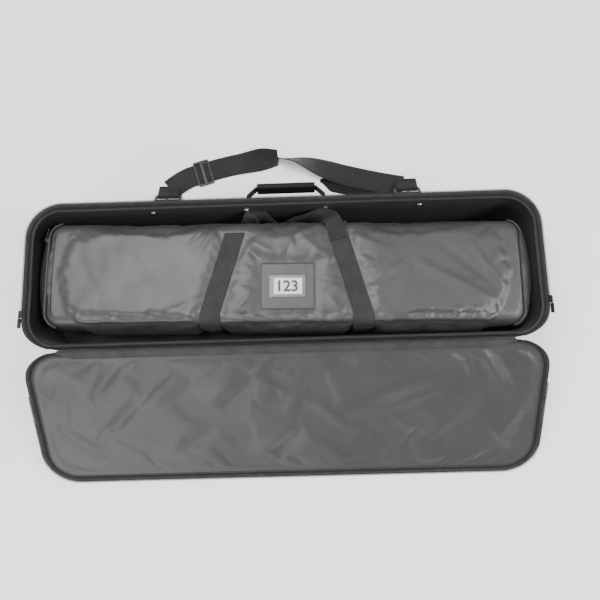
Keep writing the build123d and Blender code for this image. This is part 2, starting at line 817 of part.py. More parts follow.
with BuildPart() as bag_zip_tape:
    tape_path = end_path(-1, zip_angle, 0.5 + zip_tape_thick / 2)
    start = tape_path @ 0
    along = tape_path % 0
    across = along.cross(Vector(0, 0, 1)).normalized()
    lean = across * cos(radians(zip_angle))
    lean = lean if lean.dot(start - bag_plane.origin) > 0 else lean * -1
    normal = (lean + Vector(0, 0, sin(radians(zip_angle)))).normalized()
    with BuildSketch(Plane(origin=start, x_dir=normal, z_dir=along)) as section:
        Rectangle(zip_tape_thick, zip_tape_width)
    sweep(section.sketch, path=tape_path)
save(bag_zip_tape.part, "bag_zip_tape")

coil_lift = 0.5 + zip_tape_thick + bag_coil_radius + 0.05
with BuildPart() as bag_zip_coil:
    end_bead(-1, zip_angle, coil_lift, bag_coil_radius)
save(bag_zip_coil.part, "bag_zip_coil")

# The bag's slider rides the arc of the left end, so it turns about that arc's centre.
arc_centre = bag_plane.from_local_coords(Vector(end_radius - bag_half_x - bag_bulge, 0, 0))
zip_arc_radius = end_radius - bag_edge + (bag_edge + coil_lift) * cos(radians(zip_angle))
zip_height = bag_floor + bag_height - bag_edge + (bag_edge + coil_lift) * sin(radians(zip_angle))
slider_angle = radians(180 + bag_turn - 12)
print("bag zip arc centre", round(arc_centre.X, 2), round(arc_centre.Y, 2), "radius", round(zip_arc_radius, 2))
slider_out = Vector(cos(slider_angle), sin(slider_angle), 0)
saddle_normal = (slider_out + Vector(0, 0, 1)).normalized()
saddle_plane = Plane(
    origin=Vector(arc_centre.X, arc_centre.Y, zip_height) + slider_out * zip_arc_radius,
    x_dir=Vector(-slider_out.Y, slider_out.X, 0),
    z_dir=saddle_normal,
)
saddle_length = 11.0
saddle_half = 3.6
saddle_low = -1.2
saddle_high = 3.2
saddle_slot = bag_coil_radius + 0.4
saddle_ear = (3.0, 0.9)
saddle_ear_out = 2.1      # ears, either side of the pull's neck
saddle_ear_height = 2.2
with BuildPart() as bag_zip_slider:
    with BuildSketch(saddle_plane.offset(saddle_low)):
        RectangleRounded(saddle_length, 2 * saddle_half, 1.5)
    extrude(amount=saddle_high - saddle_low)
    with BuildSketch(saddle_plane.offset(saddle_low)):
        Rectangle(saddle_length, 2 * saddle_slot)
    extrude(amount=saddle_slot - saddle_low, mode=Mode.SUBTRACT)
    with BuildSketch(saddle_plane.offset(saddle_high)):
        with Locations((0, -saddle_ear_out), (0, saddle_ear_out)):
            Rectangle(*saddle_ear)
    extrude(amount=saddle_ear_height)
save(bag_zip_slider.part, "bag_zip_slider")

bag_pull_rise = saddle_high + 1.2
bag_pull_thick = 1.2
bag_pull_width = 6.0
with BuildPart() as bag_zip_pull:
    with BuildSketch(saddle_plane.offset(bag_pull_rise - bag_pull_thick / 2)):
        with Locations((-neck_length / 2 + 1, 0)):
            Rectangle(neck_length, pull_neck)
        with Locations((-(neck_length + pull_length) / 2 + 1, 0)):
            RectangleRounded(pull_length - neck_length, bag_pull_width, 1.5)
    extrude(amount=bag_pull_thick)
save(bag_zip_pull.part, "bag_zip_pull")

# ---------------------------------------------------------------- bag's webbing, handle and label pocket
webbing_low = 12.0        # where the bands end, above the bag's bottom
label_x = 9.5
label_y = -29.0
patch_size = (110.0, 96.0)
window_size = (76.0, 48.0)
card_size = (57.0, 33.0)
patch_thick = 1.2
card_thick = 0.5
window_rim = 8.0
window_thick = 0.9


def webbing_band(front_x, rear_x):
    """Webbing over the bag from low on its front face to low on its rear face."""
    section_plane = Plane(origin=bag_plane.origin, x_dir=bag_plane.y_dir, z_dir=bag_plane.x_dir)
    low_x = min(front_x, rear_x) - bag_webbing_width
    high_x = max(front_x, rear_x) + bag_webbing_width
    with BuildPart() as band:
        with BuildSketch(section_plane.offset(low_x)):
            with Locations((0, bag_height / 2)):
                RectangleRounded(bag_depth + 2 * webbing_thick, bag_height + 2 * webbing_thick,
                                 bag_edge + webbing_thick)
                RectangleRounded(bag_depth, bag_height, bag_edge, mode=Mode.SUBTRACT)
            with Locations((0, 0)):
                Rectangle(bag_depth * 2, 2 * webbing_low, mode=Mode.SUBTRACT)
        extrude(amount=high_x - low_x)
        front_y = -bag_half_y + bag_edge
        rear_edge = bag_half_y - bag_edge
        half = bag_webbing_width / 2
        with BuildSketch(bag_plane):
            with BuildLine():
                Polyline(
                    (front_x - half, -bag_depth), (front_x + half, -bag_depth), (front_x + half, front_y),
                    (rear_x + half, rear_edge), (rear_x + half, bag_depth), (rear_x - half, bag_depth),
                    (rear_x - half, rear_edge), (front_x - half, front_y), close=True,
                )
            make_face()
        extrude(amount=bag_height + 10, mode=Mode.INTERSECT)
    return band.part


left_band_x = (-148.0, -98.0)
right_band_x = (161.0, 110.0)
save(webbing_band(*left_band_x), "bag_webbing_left")
save(webbing_band(*right_band_x), "bag_webbing_right")

# The bag's handle is one webbing loop that stands on edge in the gap behind the bag.
handle_low = 92.0
handle_out = bag_half_y + 1.5 * webbing_thick
handle_route = [
    (left_band_x[1] - 16, handle_out), (left_band_x[1] + 22, handle_out), (-46, handle_out + 11),
    (-4, handle_out + 9), (38, handle_out + 12), (right_band_x[1] - 24, handle_out + 13),
    (right_band_x[1] - 2, handle_out),  (right_band_x[1] + 16, handle_out),
]
handle_radii = corner_radii([Vector(x, y, 0) for x, y in handle_route])
print("handle radii", [round(r) for r in handle_radii])
with BuildPart() as bag_handle:
    with BuildSketch(bag_plane.offset(handle_low - bag_floor)):
        with BuildLine():
            FilletPolyline(*handle_route, radius=handle_radii)
        trace(line_width=webbing_thick)
    extrude(amount=bag_webbing_width)
save(bag_handle.part, "bag_handle")

with BuildPart() as id_patch:
    with BuildSketch(bag_plane.offset(bag_height)):
        with Locations((label_x, label_y)):
            RectangleRounded(*patch_size, 4)
    extrude(amount=patch_thick)
save(id_patch.part, "id_patch")

with BuildPart() as id_card:
    with BuildSketch(bag_plane.offset(bag_height + patch_thick)):
        with Locations((label_x, label_y)):
            Rectangle(*card_size)
    extrude(amount=card_thick)
save(id_card.part, "id_card")

with BuildPart() as id_window:
    with BuildSketch(bag_plane.offset(bag_height + patch_thick)):
        with Locations((label_x, label_y)):
            RectangleRounded(*window_size, 3)
            Rectangle(window_size[0] - 2 * window_rim, window_size[1] - window_rim, mode=Mode.SUBTRACT)
    extrude(amount=window_thick)
save(id_window.part, "id_window")
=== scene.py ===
import json
from math import ceil, cos, pi, radians, sin

import bpy
import numpy as np
from mathutils import Matrix, Vector, noise


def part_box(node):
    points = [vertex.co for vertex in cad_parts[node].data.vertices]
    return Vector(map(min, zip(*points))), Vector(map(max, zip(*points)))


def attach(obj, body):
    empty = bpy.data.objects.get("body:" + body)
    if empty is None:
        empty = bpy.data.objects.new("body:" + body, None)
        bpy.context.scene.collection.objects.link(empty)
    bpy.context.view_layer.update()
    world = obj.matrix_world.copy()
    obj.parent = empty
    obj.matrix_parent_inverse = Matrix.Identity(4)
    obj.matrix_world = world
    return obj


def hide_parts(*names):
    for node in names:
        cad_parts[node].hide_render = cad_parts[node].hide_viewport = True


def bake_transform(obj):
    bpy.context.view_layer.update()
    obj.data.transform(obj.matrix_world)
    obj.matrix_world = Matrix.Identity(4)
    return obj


# Open padded carry case with its inner bag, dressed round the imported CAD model. Metres.
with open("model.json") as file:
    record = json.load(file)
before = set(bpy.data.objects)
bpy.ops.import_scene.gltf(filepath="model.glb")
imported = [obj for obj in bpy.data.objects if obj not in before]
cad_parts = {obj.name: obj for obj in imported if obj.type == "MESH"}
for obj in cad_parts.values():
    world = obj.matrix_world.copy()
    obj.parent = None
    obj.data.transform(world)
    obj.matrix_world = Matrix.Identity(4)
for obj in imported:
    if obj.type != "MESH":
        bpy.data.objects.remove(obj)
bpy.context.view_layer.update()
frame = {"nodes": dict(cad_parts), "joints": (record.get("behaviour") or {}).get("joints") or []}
mm = 0.001

# ---------------------------------------------------------------- places taken from the frame
joints = {joint["name"]: joint for joint in frame["joints"]}
tray_half_x, tray_half_y, shell_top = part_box("base_shell")[1]
hinge_y, rim_z = joints["lid_hinge"]["pos_m"][1:]
lid_slope = radians(-joints["lid_hinge"]["range_deg"][0] - 180)
corner = 64 * mm
tape_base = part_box("base_zip_tape")[0].z
slope = sin(radians(45))
lid_near, lid_far = 2 * mm, 301 * mm
lid_half_y, lid_middle = (lid_far - lid_near) / 2, (lid_far + lid_near) / 2
lid_rim = tape_base - rim_z
bag_low, bag_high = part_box("bag_cover")
bag_turn = radians(-1.3)
bag_height = bag_high.z - bag_low.z
bag_place = Matrix.Translation((0, (bag_low.y + bag_high.y) / 2, bag_low.z))
bag_to_world = bag_place @ Matrix.Rotation(bag_turn, 4, "Z")


def lid_points(points):
    """World places of (x, away from the hinge line, above the hinge plane)."""
    p = np.asarray(points, float)
    x, away, above = p[..., 0], p[..., 1], p[..., 2]
    c, s = cos(lid_slope), sin(lid_slope)
    return np.stack([x, hinge_y - away * c - above * s, rim_z - away * s + above * c], -1)


def lid_ways(directions):
    return lid_points(directions) - lid_points((0, 0, 0))


def bag_points(points):
    """World places of points given along, across and up the bag."""
    p = np.asarray(points, float)
    turn = np.array(bag_to_world.to_3x3())
    return p @ turn.T + np.array(bag_to_world.translation)


def bag_ways(directions):
    return bag_points(directions) - bag_points((0, 0, 0))


# ---------------------------------------------------------------- materials
class Shading:
    """One material and its shader, with short calls that add nodes."""

    def __init__(self, name):
        self.material = bpy.data.materials.new(name)
        self.material.use_nodes = True
        self.tree = self.material.node_tree
        self.shader = self.tree.nodes["Principled BSDF"]

    def node(self, kind, settings=None, **inputs):
        made = self.tree.nodes.new(kind)
        for key, value in (settings or {}).items():
            setattr(made, key, value)
        for key, value in inputs.items():
            self.feed(made.inputs[key.replace("_", " ")], value)
        return made

    def feed(self, socket, value):
        if isinstance(value, bpy.types.NodeSocket):
            self.tree.links.new(value, socket)
        else:
            socket.default_value = value

    def maths(self, operation, first, second=0.0):
        made = self.node("ShaderNodeMath", {"operation": operation})
        self.feed(made.inputs[0], first)
        self.feed(made.inputs[1], second)
        return made.outputs[0]

    def noise(self, place, scale, detail=3.0, roughness=0.55, stretch=None):
        if stretch:
            place = self.node("ShaderNodeMapping", Vector=place, Scale=stretch).outputs[0]
        made = self.node("ShaderNodeTexNoise", Vector=place, Scale=scale, Detail=detail, Roughness=roughness)
        return made.outputs["Fac"]

    def span(self, value, low, high):
        """Maps 0.3 to 0.7, where most of a noise lies, to low to high."""
        made = self.node("ShaderNodeMapRange", {"clamp": True})
        for index, number in enumerate((0.3, 0.7, low, high), 1):
            made.inputs[index].default_value = number
        self.feed(made.inputs[0], value)
        return made.outputs[0]


def threads(shade, place, pattern, pitch):
    """Height of a woven or moulded pattern, about -1 to 1."""
    parts = shade.node("ShaderNodeSeparateXYZ", Vector=place).outputs
    wave = [shade.maths("SINE", shade.maths("MULTIPLY", part, 2 * pi / pitch)) for part in parts]
    if pattern == "weave":
        return shade.maths("MULTIPLY", wave[0], wave[1])
    if pattern == "rib":
        across = shade.maths("SINE", shade.maths("MULTIPLY", parts[0], 2 * pi / (2.4 * pitch)))
        return shade.maths("ADD", shade.maths("MULTIPLY", wave[1], 0.7),
                           shade.maths("MULTIPLY", shade.maths("MULTIPLY", wave[1], across), 0.6))
    if pattern == "twill":
        lean = shade.maths("ADD", parts[0], parts[1])
        return shade.maths("SINE", shade.maths("MULTIPLY", lean, 2 * pi / pitch))
    if pattern == "solid weave":
        pairs = [shade.maths("MULTIPLY", wave[a], wave[b]) for a, b in ((0, 1), (1, 2), (2, 0))]
        return shade.maths("ADD", shade.maths("ADD", pairs[0], pairs[1]), pairs[2])
    cells = shade.node("ShaderNodeTexVoronoi", Vector=place, Scale=1 / pitch)
    return cells.outputs["Distance"]


def finish_of(name, colour, rough, pattern=None, pitch=1.2 * mm, depth=0.2 * mm, flat=True,
              tint=0.22, patch=9.0, rough_span=0.1, crease=0.0, crease_scale=26.0, crease_stretch=None,
              sheen=0.0, coat=0.0, metal=0.0, wear=0.0, speck=0.1, specular=0.5):
    """A material: mottled colour and gloss, a fine pattern, soft creases, and paler worn edges."""
    shade = Shading(name)
    coords = shade.node("ShaderNodeTexCoord")
    solid = coords.outputs["Object"]
    place = coords.outputs["UV"] if flat else solid
    mottle = shade.noise(solid, patch, 4.0)
    fine = shade.noise(solid, 420.0, 2.0)
    bright = shade.maths("ADD", shade.span(mottle, 1 - tint, 1 + tint), shade.span(fine, -speck, speck))
    if pattern:
        height = threads(shade, place, pattern, pitch)
        bright = shade.maths("ADD", bright, shade.maths("MULTIPLY", height, 0.5 * speck))
    if wear:
        point = shade.node("ShaderNodeNewGeometry").outputs["Pointiness"]
        worn = shade.node("ShaderNodeMapRange", {"clamp": True})
        for index, number in enumerate((0.52, 0.62, 0.0, wear), 1):
            worn.inputs[index].default_value = number
        shade.feed(worn.inputs[0], point)
        bright = shade.maths("ADD", bright, worn.outputs[0])
    tinted = shade.node("ShaderNodeVectorMath", {"operation": "SCALE"})
    tinted.inputs[0].default_value = colour
    shade.feed(tinted.inputs["Scale"], bright)
    inputs = shade.shader.inputs
    shade.feed(inputs["Base Color"], tinted.outputs[0])
    gloss = shade.noise(solid, patch * 2.3, 3.0)
    shade.feed(inputs["Roughness"], shade.span(gloss, rough - rough_span, rough + rough_span))
    inputs["Metallic"].default_value = metal
    inputs["Sheen Weight"].default_value = sheen
    inputs["Sheen Roughness"].default_value = 0.45
    inputs["Coat Weight"].default_value = coat
    inputs["Coat Roughness"].default_value = 0.25
    inputs["Specular IOR Level"].default_value = specular
    normal = None
    if crease:
        folds = shade.noise(solid, crease_scale, 4.0, 0.5, crease_stretch)
        bump = shade.node("ShaderNodeBump", Height=folds, Strength=1.0, Distance=crease)
        normal = bump.outputs[0]
    if pattern:
        bump = shade.node("ShaderNodeBump", Height=height, Strength=1.0, Distance=depth)
        if normal:
            shade.feed(bump.inputs["Normal"], normal)
        normal = bump.outputs[0]
    if normal:
        shade.feed(inputs["Normal"], normal)
    return shade.material


shell_cloth = finish_of("shell_cloth", (0.011, 0.0115, 0.013), 0.62, "solid weave", 2.2 * mm, 0.12 * mm,
                        flat=False, sheen=0.08, crease=0.6 * mm, crease_scale=60, wear=0.4, specular=0.35)
tray_tricot = finish_of("tray_tricot", (0.0085, 0.0092, 0.0115), 0.5, "twill", 1.4 * mm, 0.05 * mm,
                        sheen=0.07, crease=1.2 * mm, crease_scale=14, tint=0.12, specular=0.35)
binding_ribbed = finish_of("binding_ribbed", (0.008, 0.008, 0.009), 0.72, "rib", 1.1 * mm, 0.2 * mm,
                           sheen=0.05, specular=0.3)
binding_solid = finish_of("binding_solid", (0.008, 0.008, 0.009), 0.72, "solid weave", 1.8 * mm, 0.15 * mm,
                          flat=False, sheen=0.05, specular=0.3)
tape_woven = finish_of("tape_woven", (0.03, 0.03, 0.031), 0.75, "rib", 1.6 * mm, 0.22 * mm, sheen=0.1,
                       tint=0.3, patch=40, speck=0.3, specular=0.35)
hinge_woven = finish_of("hinge_woven", (0.034, 0.0325, 0.032), 0.72, "rib", 1.5 * mm, 0.22 * mm, sheen=0.1,
                        tint=0.25, patch=30, speck=0.2, specular=0.4)
lid_nylon = finish_of("lid_nylon", (0.038, 0.0362, 0.036), 0.4, "weave", 1.1 * mm, 0.05 * mm, sheen=0.04,
                      crease=1.6 * mm, crease_scale=8, tint=0.14, patch=5, coat=0.08, rough_span=0.07)
bag_coated = finish_of("bag_coated", (0.046, 0.046, 0.0445), 0.38, "weave", 1.0 * mm, 0.035 * mm, sheen=0.04,
                       crease=2.2 * mm, crease_scale=16, tint=0.12, patch=6, rough_span=0.08, coat=0.15)
bag_web = finish_of("bag_web", (0.023, 0.0228, 0.0214), 0.7, "rib", 2.2 * mm, 0.3 * mm, sheen=0.1, patch=30,
                    specular=0.4)
strap_web = finish_of("strap_web", (0.012, 0.012, 0.0122), 0.66, "rib", 2.4 * mm, 0.32 * mm, sheen=0.08,
                      patch=24, specular=0.4)
piping_cloth = finish_of("piping_cloth", (0.05, 0.05, 0.05), 0.42, "twill", 1.4 * mm, 0.1 * mm, sheen=0.1,
                         tint=0.35, patch=60)
thread_dark = finish_of("thread_dark", (0.014, 0.014, 0.014), 0.6, sheen=0.1)
thread_grey = finish_of("thread_grey", (0.075, 0.075, 0.072), 0.6, sheen=0.1)
coil_nylon = finish_of("coil_nylon", (0.008, 0.008, 0.009), 0.5, patch=80, specular=0.35)
plastic_black = finish_of("plastic_black", (0.009, 0.009, 0.01), 0.42, "cells", 1.6 * mm, 0.05 * mm,
                          flat=False, wear=0.8, coat=0.05)
rubber_black = finish_of("rubber_black", (0.006, 0.006, 0.0065), 0.62, "cells", 2.0 * mm, 0.08 * mm,
                         flat=False, wear=0.3, specular=0.3)
steel = finish_of("steel", (0.62, 0.62, 0.63), 0.28, metal=1.0, crease=0.1 * mm, crease_scale=200, patch=60)
zip_black = finish_of("zip_black", (0.022, 0.022, 0.024), 0.4, metal=1.0, wear=0.5, patch=90)
card_white = finish_of("card_white", (0.74, 0.74, 0.72), 0.55, tint=0.04, speck=0.03, patch=40)
ink_grey = finish_of("ink_grey", (0.07, 0.07, 0.075), 0.6, tint=0.1)
vinyl = finish_of("vinyl", (0.07, 0.07, 0.069), 0.22, coat=0.5, tint=0.08, crease=0.4 * mm, crease_scale=70)


# ---------------------------------------------------------------- meshes
def unit(vectors):
    return vectors / np.maximum(np.linalg.norm(vectors, axis=-1, keepdims=True), 1e-12)


def piece(name, points, faces, material, body=None, uv=None):
    """A smooth-shaded mesh on a body. uv holds one pair in metres for each corner of each face."""
    mesh = bpy.data.meshes.new(name)
    mesh.from_pydata([tuple(p) for p in np.asarray(points, float)], [], [tuple(f) for f in faces])
    if uv is not None:
        mesh.uv_layers.new(name="metres").data.foreach_set("uv", np.asarray(uv, np.float32).ravel())
    mesh.polygons.foreach_set("use_smooth", [True] * len(mesh.polygons))
    mesh.materials.append(material)
    made = bpy.data.objects.new(name, mesh)
    bpy.context.scene.collection.objects.link(made)
    if body:
        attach(made, body)
    return made


def grid_faces(rows, cols, wrap_rows, wrap_cols):
    i, j = np.meshgrid(np.arange(rows if wrap_rows else rows - 1), np.arange(cols if wrap_cols else cols - 1),
                       indexing="ij")
    near, far = i * cols, ((i + 1) % rows) * cols
    left, right = j, (j + 1) % cols
    quads = np.stack([near + left, far + left, far + right, near + right], -1).reshape(-1, 4)
    spots = np.stack([i, j, i + 1, j, i + 1, j + 1, i, j + 1], -1).reshape(-1, 4, 2)
    return quads, spots


def lengths_along(grid, axis, wrap):
    """Mean distance along one axis of a grid of points, from its first row."""
    ring = np.concatenate([grid, np.take(grid, [0], axis)], axis) if wrap else grid
    steps = np.linalg.norm(np.diff(ring, axis=axis), axis=-1).mean(axis=1 - axis)
    return np.concatenate([[0], np.cumsum(steps)])


def grid_piece(name, grid, material, body, wrap_rows=False, wrap_cols=False, caps=False):
    """A mesh whose points form a grid."""
    rows, cols = grid.shape[:2]
    quads, spots = grid_faces(rows, cols, wrap_rows, wrap_cols)
    along, across = lengths_along(grid, 0, wrap_rows), lengths_along(grid, 1, wrap_cols)
    uv = [tuple(p) for p in np.stack([along[spots[..., 0]], across[spots[..., 1]]], -1).reshape(-1, 2)]
    faces = [tuple(q) for q in quads]
    if caps:
        for ring in (tuple(range(cols))[::-1], tuple(range((rows - 1) * cols, rows * cols))):
            faces.append(ring)
            uv += [(0.0, 0.0)] * cols
    return piece(name, grid.reshape(-1, 3), faces, material, body, uv)


def sheet(name, grid, thick, normals, material, body, wrap=False):
    """A closed strip of cloth of even thickness below a grid of points, with rounded edges."""
    under = grid - normals * thick
    middle = (grid + under) / 2
    outward = unit(grid[:, -1] - grid[:, -2])
    inward = unit(grid[:, 0] - grid[:, 1])
    ring = np.concatenate([
        grid, (middle[:, -1] + outward * thick * 0.45)[:, None], under[:, ::-1],
        (middle[:, 0] + inward * thick * 0.45)[:, None],
    ], 1)
    return grid_piece(name, ring, material, body, wrap_rows=wrap, wrap_cols=True, caps=not wrap)


def tube(name, path, side, up, radius, material, body, wrap=False, sides=8):
    turn = np.linspace(0, 2 * pi, sides, endpoint=False)
    ring = cos_sin(turn)
    grid = path[:, None] + radius * (ring[None, :, :1] * side[:, None] + ring[None, :, 1:] * up[:, None])
    return grid_piece(name, grid, material, body, wrap_rows=wrap, wrap_cols=True, caps=not wrap)


def cos_sin(angles):
    return np.stack([np.cos(angles), np.sin(angles)], -1)


def spaced(path, step, extra=(), closed=False):
    """Points at even steps along a path, with any vectors that go with it."""
    if closed:
        path = np.concatenate([path, path[:1]])
        extra = [np.concatenate([e, e[:1]]) for e in extra]
    far = np.concatenate([[0], np.cumsum(np.linalg.norm(np.diff(path, axis=0), axis=1))])
    count = max(2, int(round(far[-1] / step)) + 1)
    at = np.linspace(0, far[-1], count)
    if closed:
        at = at[:-1]
    pick = [np.stack([np.interp(at, far, values[:, k]) for k in range(values.shape[1])], -1)
            for values in (path, *extra)]
    return pick[0], [unit(e) for e in pick[1:]]


def bead_shape():
    """A small ellipsoid of radius 1, long along its first axis."""
    rings, sides = np.array([-0.72, 0.0, 0.72]), 6
    turn = cos_sin(np.linspace(0, 2 * pi, sides, endpoint=False))
    points = [(-1.0, 0, 0)]
    for at in rings:
        wide = (1 - at * at) ** 0.5
        points += [(at, wide * c, wide * s) for c, s in turn]
    points.append((1.0, 0, 0))
    faces = []
    for k in range(sides):
        n = (k + 1) % sides
        faces.append((0, 1 + n, 1 + k))
        for r in range(2):
            a = 1 + r * sides
            faces.append((a + k, a + n, a + sides + n, a + sides + k))
        faces.append((1 + 2 * sides + k, 1 + 2 * sides + n, 1 + 3 * sides))
    return np.array(points), faces


def beads(name, centres, long, side, up, size, material, body):
    """Small rounded beads, such as stitches or zip teeth, as one mesh."""
    shape, shape_faces = bead_shape()
    a, b, c = size
    points = (centres[:, None] + shape[None, :, :1] * a * long[:, None]
              + shape[None, :, 1:2] * b * side[:, None] + shape[None, :, 2:] * c * up[:, None])
    faces = [tuple(i + k * len(shape) for i in face) for k in range(len(centres)) for face in shape_faces]
    return piece(name, points.reshape(-1, 3), faces, material, body)


def stitches(name, path, up, body, material=None, pitch=4.2 * mm, length=2.9 * mm, closed=False):
    """A row of stitches along a path, half sunk in the cloth below it."""
    centres, (ups,) = spaced(path, pitch, [np.broadcast_to(up, path.shape)], closed)
    ends = np.roll(centres, -1, 0) - np.roll(centres, 1, 0) if closed else np.gradient(centres, axis=0)
    long = unit(ends)
    side = unit(np.cross(ups, long))
    return beads(name, centres, long, side, ups, (length / 2, 0.42 * mm, 0.36 * mm),
                 material or thread_dark, body)


def zip_teeth(name, path, across, up, body, half_width=1.45 * mm, pitch=1.7 * mm):
    """Nylon coil of a zip: one rounded loop across the tape for each tooth."""
    centres, (sides, ups) = spaced(path, pitch, [across, up])
    along = unit(np.cross(sides, ups))
    size = (half_width, 0.62 * mm, 1.15 * mm)
    return beads(name, centres, sides, along, ups, size, coil_nylon, body)


def rounded_outline(half_x, half_y, radius, step=4 * mm):
    """Points and outward normals round a rounded rectangle."""
    points, normals = [], []
    count = max(6, ceil(radius * pi / 2 / step))
    centres = ((1, 1), (-1, 1), (-1, -1), (1, -1))
    for quarter, (sx, sy) in enumerate(centres):
        angles = np.linspace(quarter * pi / 2, (quarter + 1) * pi / 2, count + 1)
        normals.append(cos_sin(angles))
        points.append(np.array([sx * (half_x - radius), sy * (half_y - radius)]) + radius * normals[-1])
        nx, ny = centres[(quarter + 1) % 4]
        start = points[-1][-1]
        end = np.array([nx * (half_x - radius), ny * (half_y - radius)]) + radius * cos_sin(angles[-1:])[0]
        steps = max(2, ceil(np.linalg.norm(end - start) / step))
        share = np.linspace(0, 1, steps + 1)[1:-1, None]
        points.append(start + (end - start) * share)
        normals.append(np.repeat(normals[-1][-1:], len(share), 0))
    return np.concatenate(points), np.concatenate(normals)


def three_sides(half_x, far, radius, first, step=3 * mm):
    """Points and outward normals up the left side, along the far side and down the right side."""
    left = np.linspace(first, far - radius, max(2, ceil((far - radius - first) / step)), endpoint=False)
    angles = np.linspace(pi, pi / 2, max(6, ceil(radius * pi / 2 / step)) + 1)
    arc = np.array([-(half_x - radius), far - radius]) + radius * cos_sin(angles)
    half = np.concatenate([np.stack([np.full(len(left), -half_x), left], -1), arc])
    half_normals = np.concatenate([np.tile([-1.0, 0.0], (len(left), 1)), cos_sin(angles)])
    count = max(2, ceil(2 * (half_x - radius) / step))
    along = np.linspace(-(half_x - radius), half_x - radius, count + 1)[1:-1]
    top = np.stack([along, np.full(len(along), far)], -1)
    mirror = np.array([-1.0, 1.0])
    points = np.concatenate([half, top, (half * mirror)[::-1]])
    top_normals = np.tile([0.0, 1.0], (len(top), 1))
    normals = np.concatenate([half_normals, top_normals, (half_normals * mirror)[::-1]])
    return points, normals


def with_height(flat, height):
    return np.concatenate([flat, np.broadcast_to(height, flat.shape[:-1])[..., None]], -1)


def coordinates(mesh):
    co = np.zeros(len(mesh.vertices) * 3, np.float32)
    mesh.vertices.foreach_get("co", co)
    return co.reshape(-1, 3).astype(float)


def vertex_normals(mesh):
    values = np.zeros(len(mesh.vertices) * 3, np.float32)
    mesh.vertices.foreach_get("normal", values)
    return values.reshape(-1, 3).astype(float)


def set_coordinates(mesh, co):
    mesh.vertices.foreach_set("co", co.astype(np.float32).ravel())
    mesh.update()


def box_uv(mesh):
    """UVs in metres, from the axis that each face faces most."""
    co = coordinates(mesh)
    layer = mesh.uv_layers.get("metres") or mesh.uv_layers.new(name="metres")
    corner_vertex = np.zeros(len(mesh.loops), np.int64)
    mesh.loops.foreach_get("vertex_index", corner_vertex)
    facing = np.zeros(len(mesh.polygons) * 3, np.float32)
    mesh.polygons.foreach_get("normal", facing)
    sizes = np.zeros(len(mesh.polygons), np.int64)
    mesh.polygons.foreach_get("loop_total", sizes)
    axis = np.repeat(np.abs(facing.reshape(-1, 3)).argmax(1), sizes)
    first, second = np.array([1, 0, 0])[axis], np.array([2, 2, 1])[axis]
    at = co[corner_vertex]
    rows = np.arange(len(at))
    layer.data.foreach_set("uv", np.stack([at[rows, first], at[rows, second]], -1).astype(np.float32).ravel())


def settle(thing, held, slack, pressure, cap, frames=20):
    """Lets cloth puff and wrinkle where it isn't held, and keeps the shape it reaches."""
    rest = coordinates(thing.data)
    group = thing.vertex_groups.new(name="held")
    group.add([int(i) for i in np.flatnonzero(held)], 1.0, "REPLACE")
    modifier = thing.modifiers.new("Cloth", "CLOTH")
    cloth = modifier.settings
    cloth.vertex_group_mass = "held"
    cloth.use_pressure = True
    cloth.uniform_pressure_force = pressure
    cloth.effector_weights.gravity = 0
    cloth.shrink_min = -slack
    cloth.quality = 5
    cloth.bending_stiffness = 0.3
    modifier.point_cache.frame_start, modifier.point_cache.frame_end = 1, frames
    for step in range(1, frames + 1):
        bpy.context.scene.frame_set(step)
    evaluated = thing.evaluated_get(bpy.context.evaluated_depsgraph_get())
    moved = coordinates(evaluated.data) - rest
    bpy.context.scene.frame_set(1)
    thing.modifiers.remove(modifier)
    thing.vertex_groups.clear()
    far = np.linalg.norm(moved, axis=1, keepdims=True)
    set_coordinates(thing.data, rest + moved * np.minimum(1, cap / np.maximum(far, 1e-9)))


def soft_noise(points, scale, seed):
    """Smooth noise, about -1 to 1, at each point."""
    shift = Vector((seed * 3.1, seed * 7.7, seed * 1.3))
    values = [noise.noise(Vector(p) * scale + shift) for p in points.reshape(-1, 3)]
    return np.array(values).reshape(points.shape[:-1])


def turned_flat(points, angle):
    """Points turned about the vertical, which sets a slant for noise that is stretched afterwards."""
    c, s = cos(angle), sin(angle)
    turn = np.array([[c, -s, 0], [s, c, 0], [0, 0, 1]])
    return (points.reshape(-1, 3) @ turn.T).reshape(points.shape)


def ramp(value, low, high):
    t = np.clip((value - low) / (high - low), 0, 1)
    return t * t * (3 - 2 * t)


def folds(points, lines):
    """Heights of separate folds, each from one place to another and gone at both ends.

    A line holds the along and across of its two ends, its half width and its height, in millimetres.
    """
    height = np.zeros(points.shape[:-1])
    for start_x, start_y, end_x, end_y, wide, tall in lines:
        start = np.array([start_x, start_y]) * mm
        run = np.array([end_x, end_y]) * mm - start
        away = points[..., :2] - start
        share = np.clip(away @ run / (run @ run), 0, 1)
        off = (away[..., 0] * run[1] - away[..., 1] * run[0]) / (run @ run) ** 0.5
        height += tall * mm * np.sin(pi * share) ** 0.8 * np.exp(-((off / (wide * mm)) ** 2))
    return height


# ---------------------------------------------------------------- camera, light and floor
def add_camera(place, pitch, yaw, roll, lens):
    """A camera that looks down by pitch, turned from +Y by yaw. Angles are in radians."""
    ahead = Vector((sin(yaw) * cos(pitch), cos(yaw) * cos(pitch), -sin(pitch)))
    level = Vector((cos(yaw), -sin(yaw), 0))
    above = level.cross(ahead)
    right = level * cos(roll) + above * sin(roll)
    up = above * cos(roll) - level * sin(roll)
    data = bpy.data.cameras.new("camera")
    data.lens = lens
    data.clip_start, data.clip_end = 0.05, 20
    made = bpy.data.objects.new("camera", data)
    made.matrix_world = Matrix((
        (right.x, up.x, -ahead.x, place[0]),
        (right.y, up.y, -ahead.y, place[1]),
        (right.z, up.z, -ahead.z, place[2]),
        (0, 0, 0, 1),
    ))
    bpy.context.scene.collection.objects.link(made)
    bpy.context.scene.camera = made


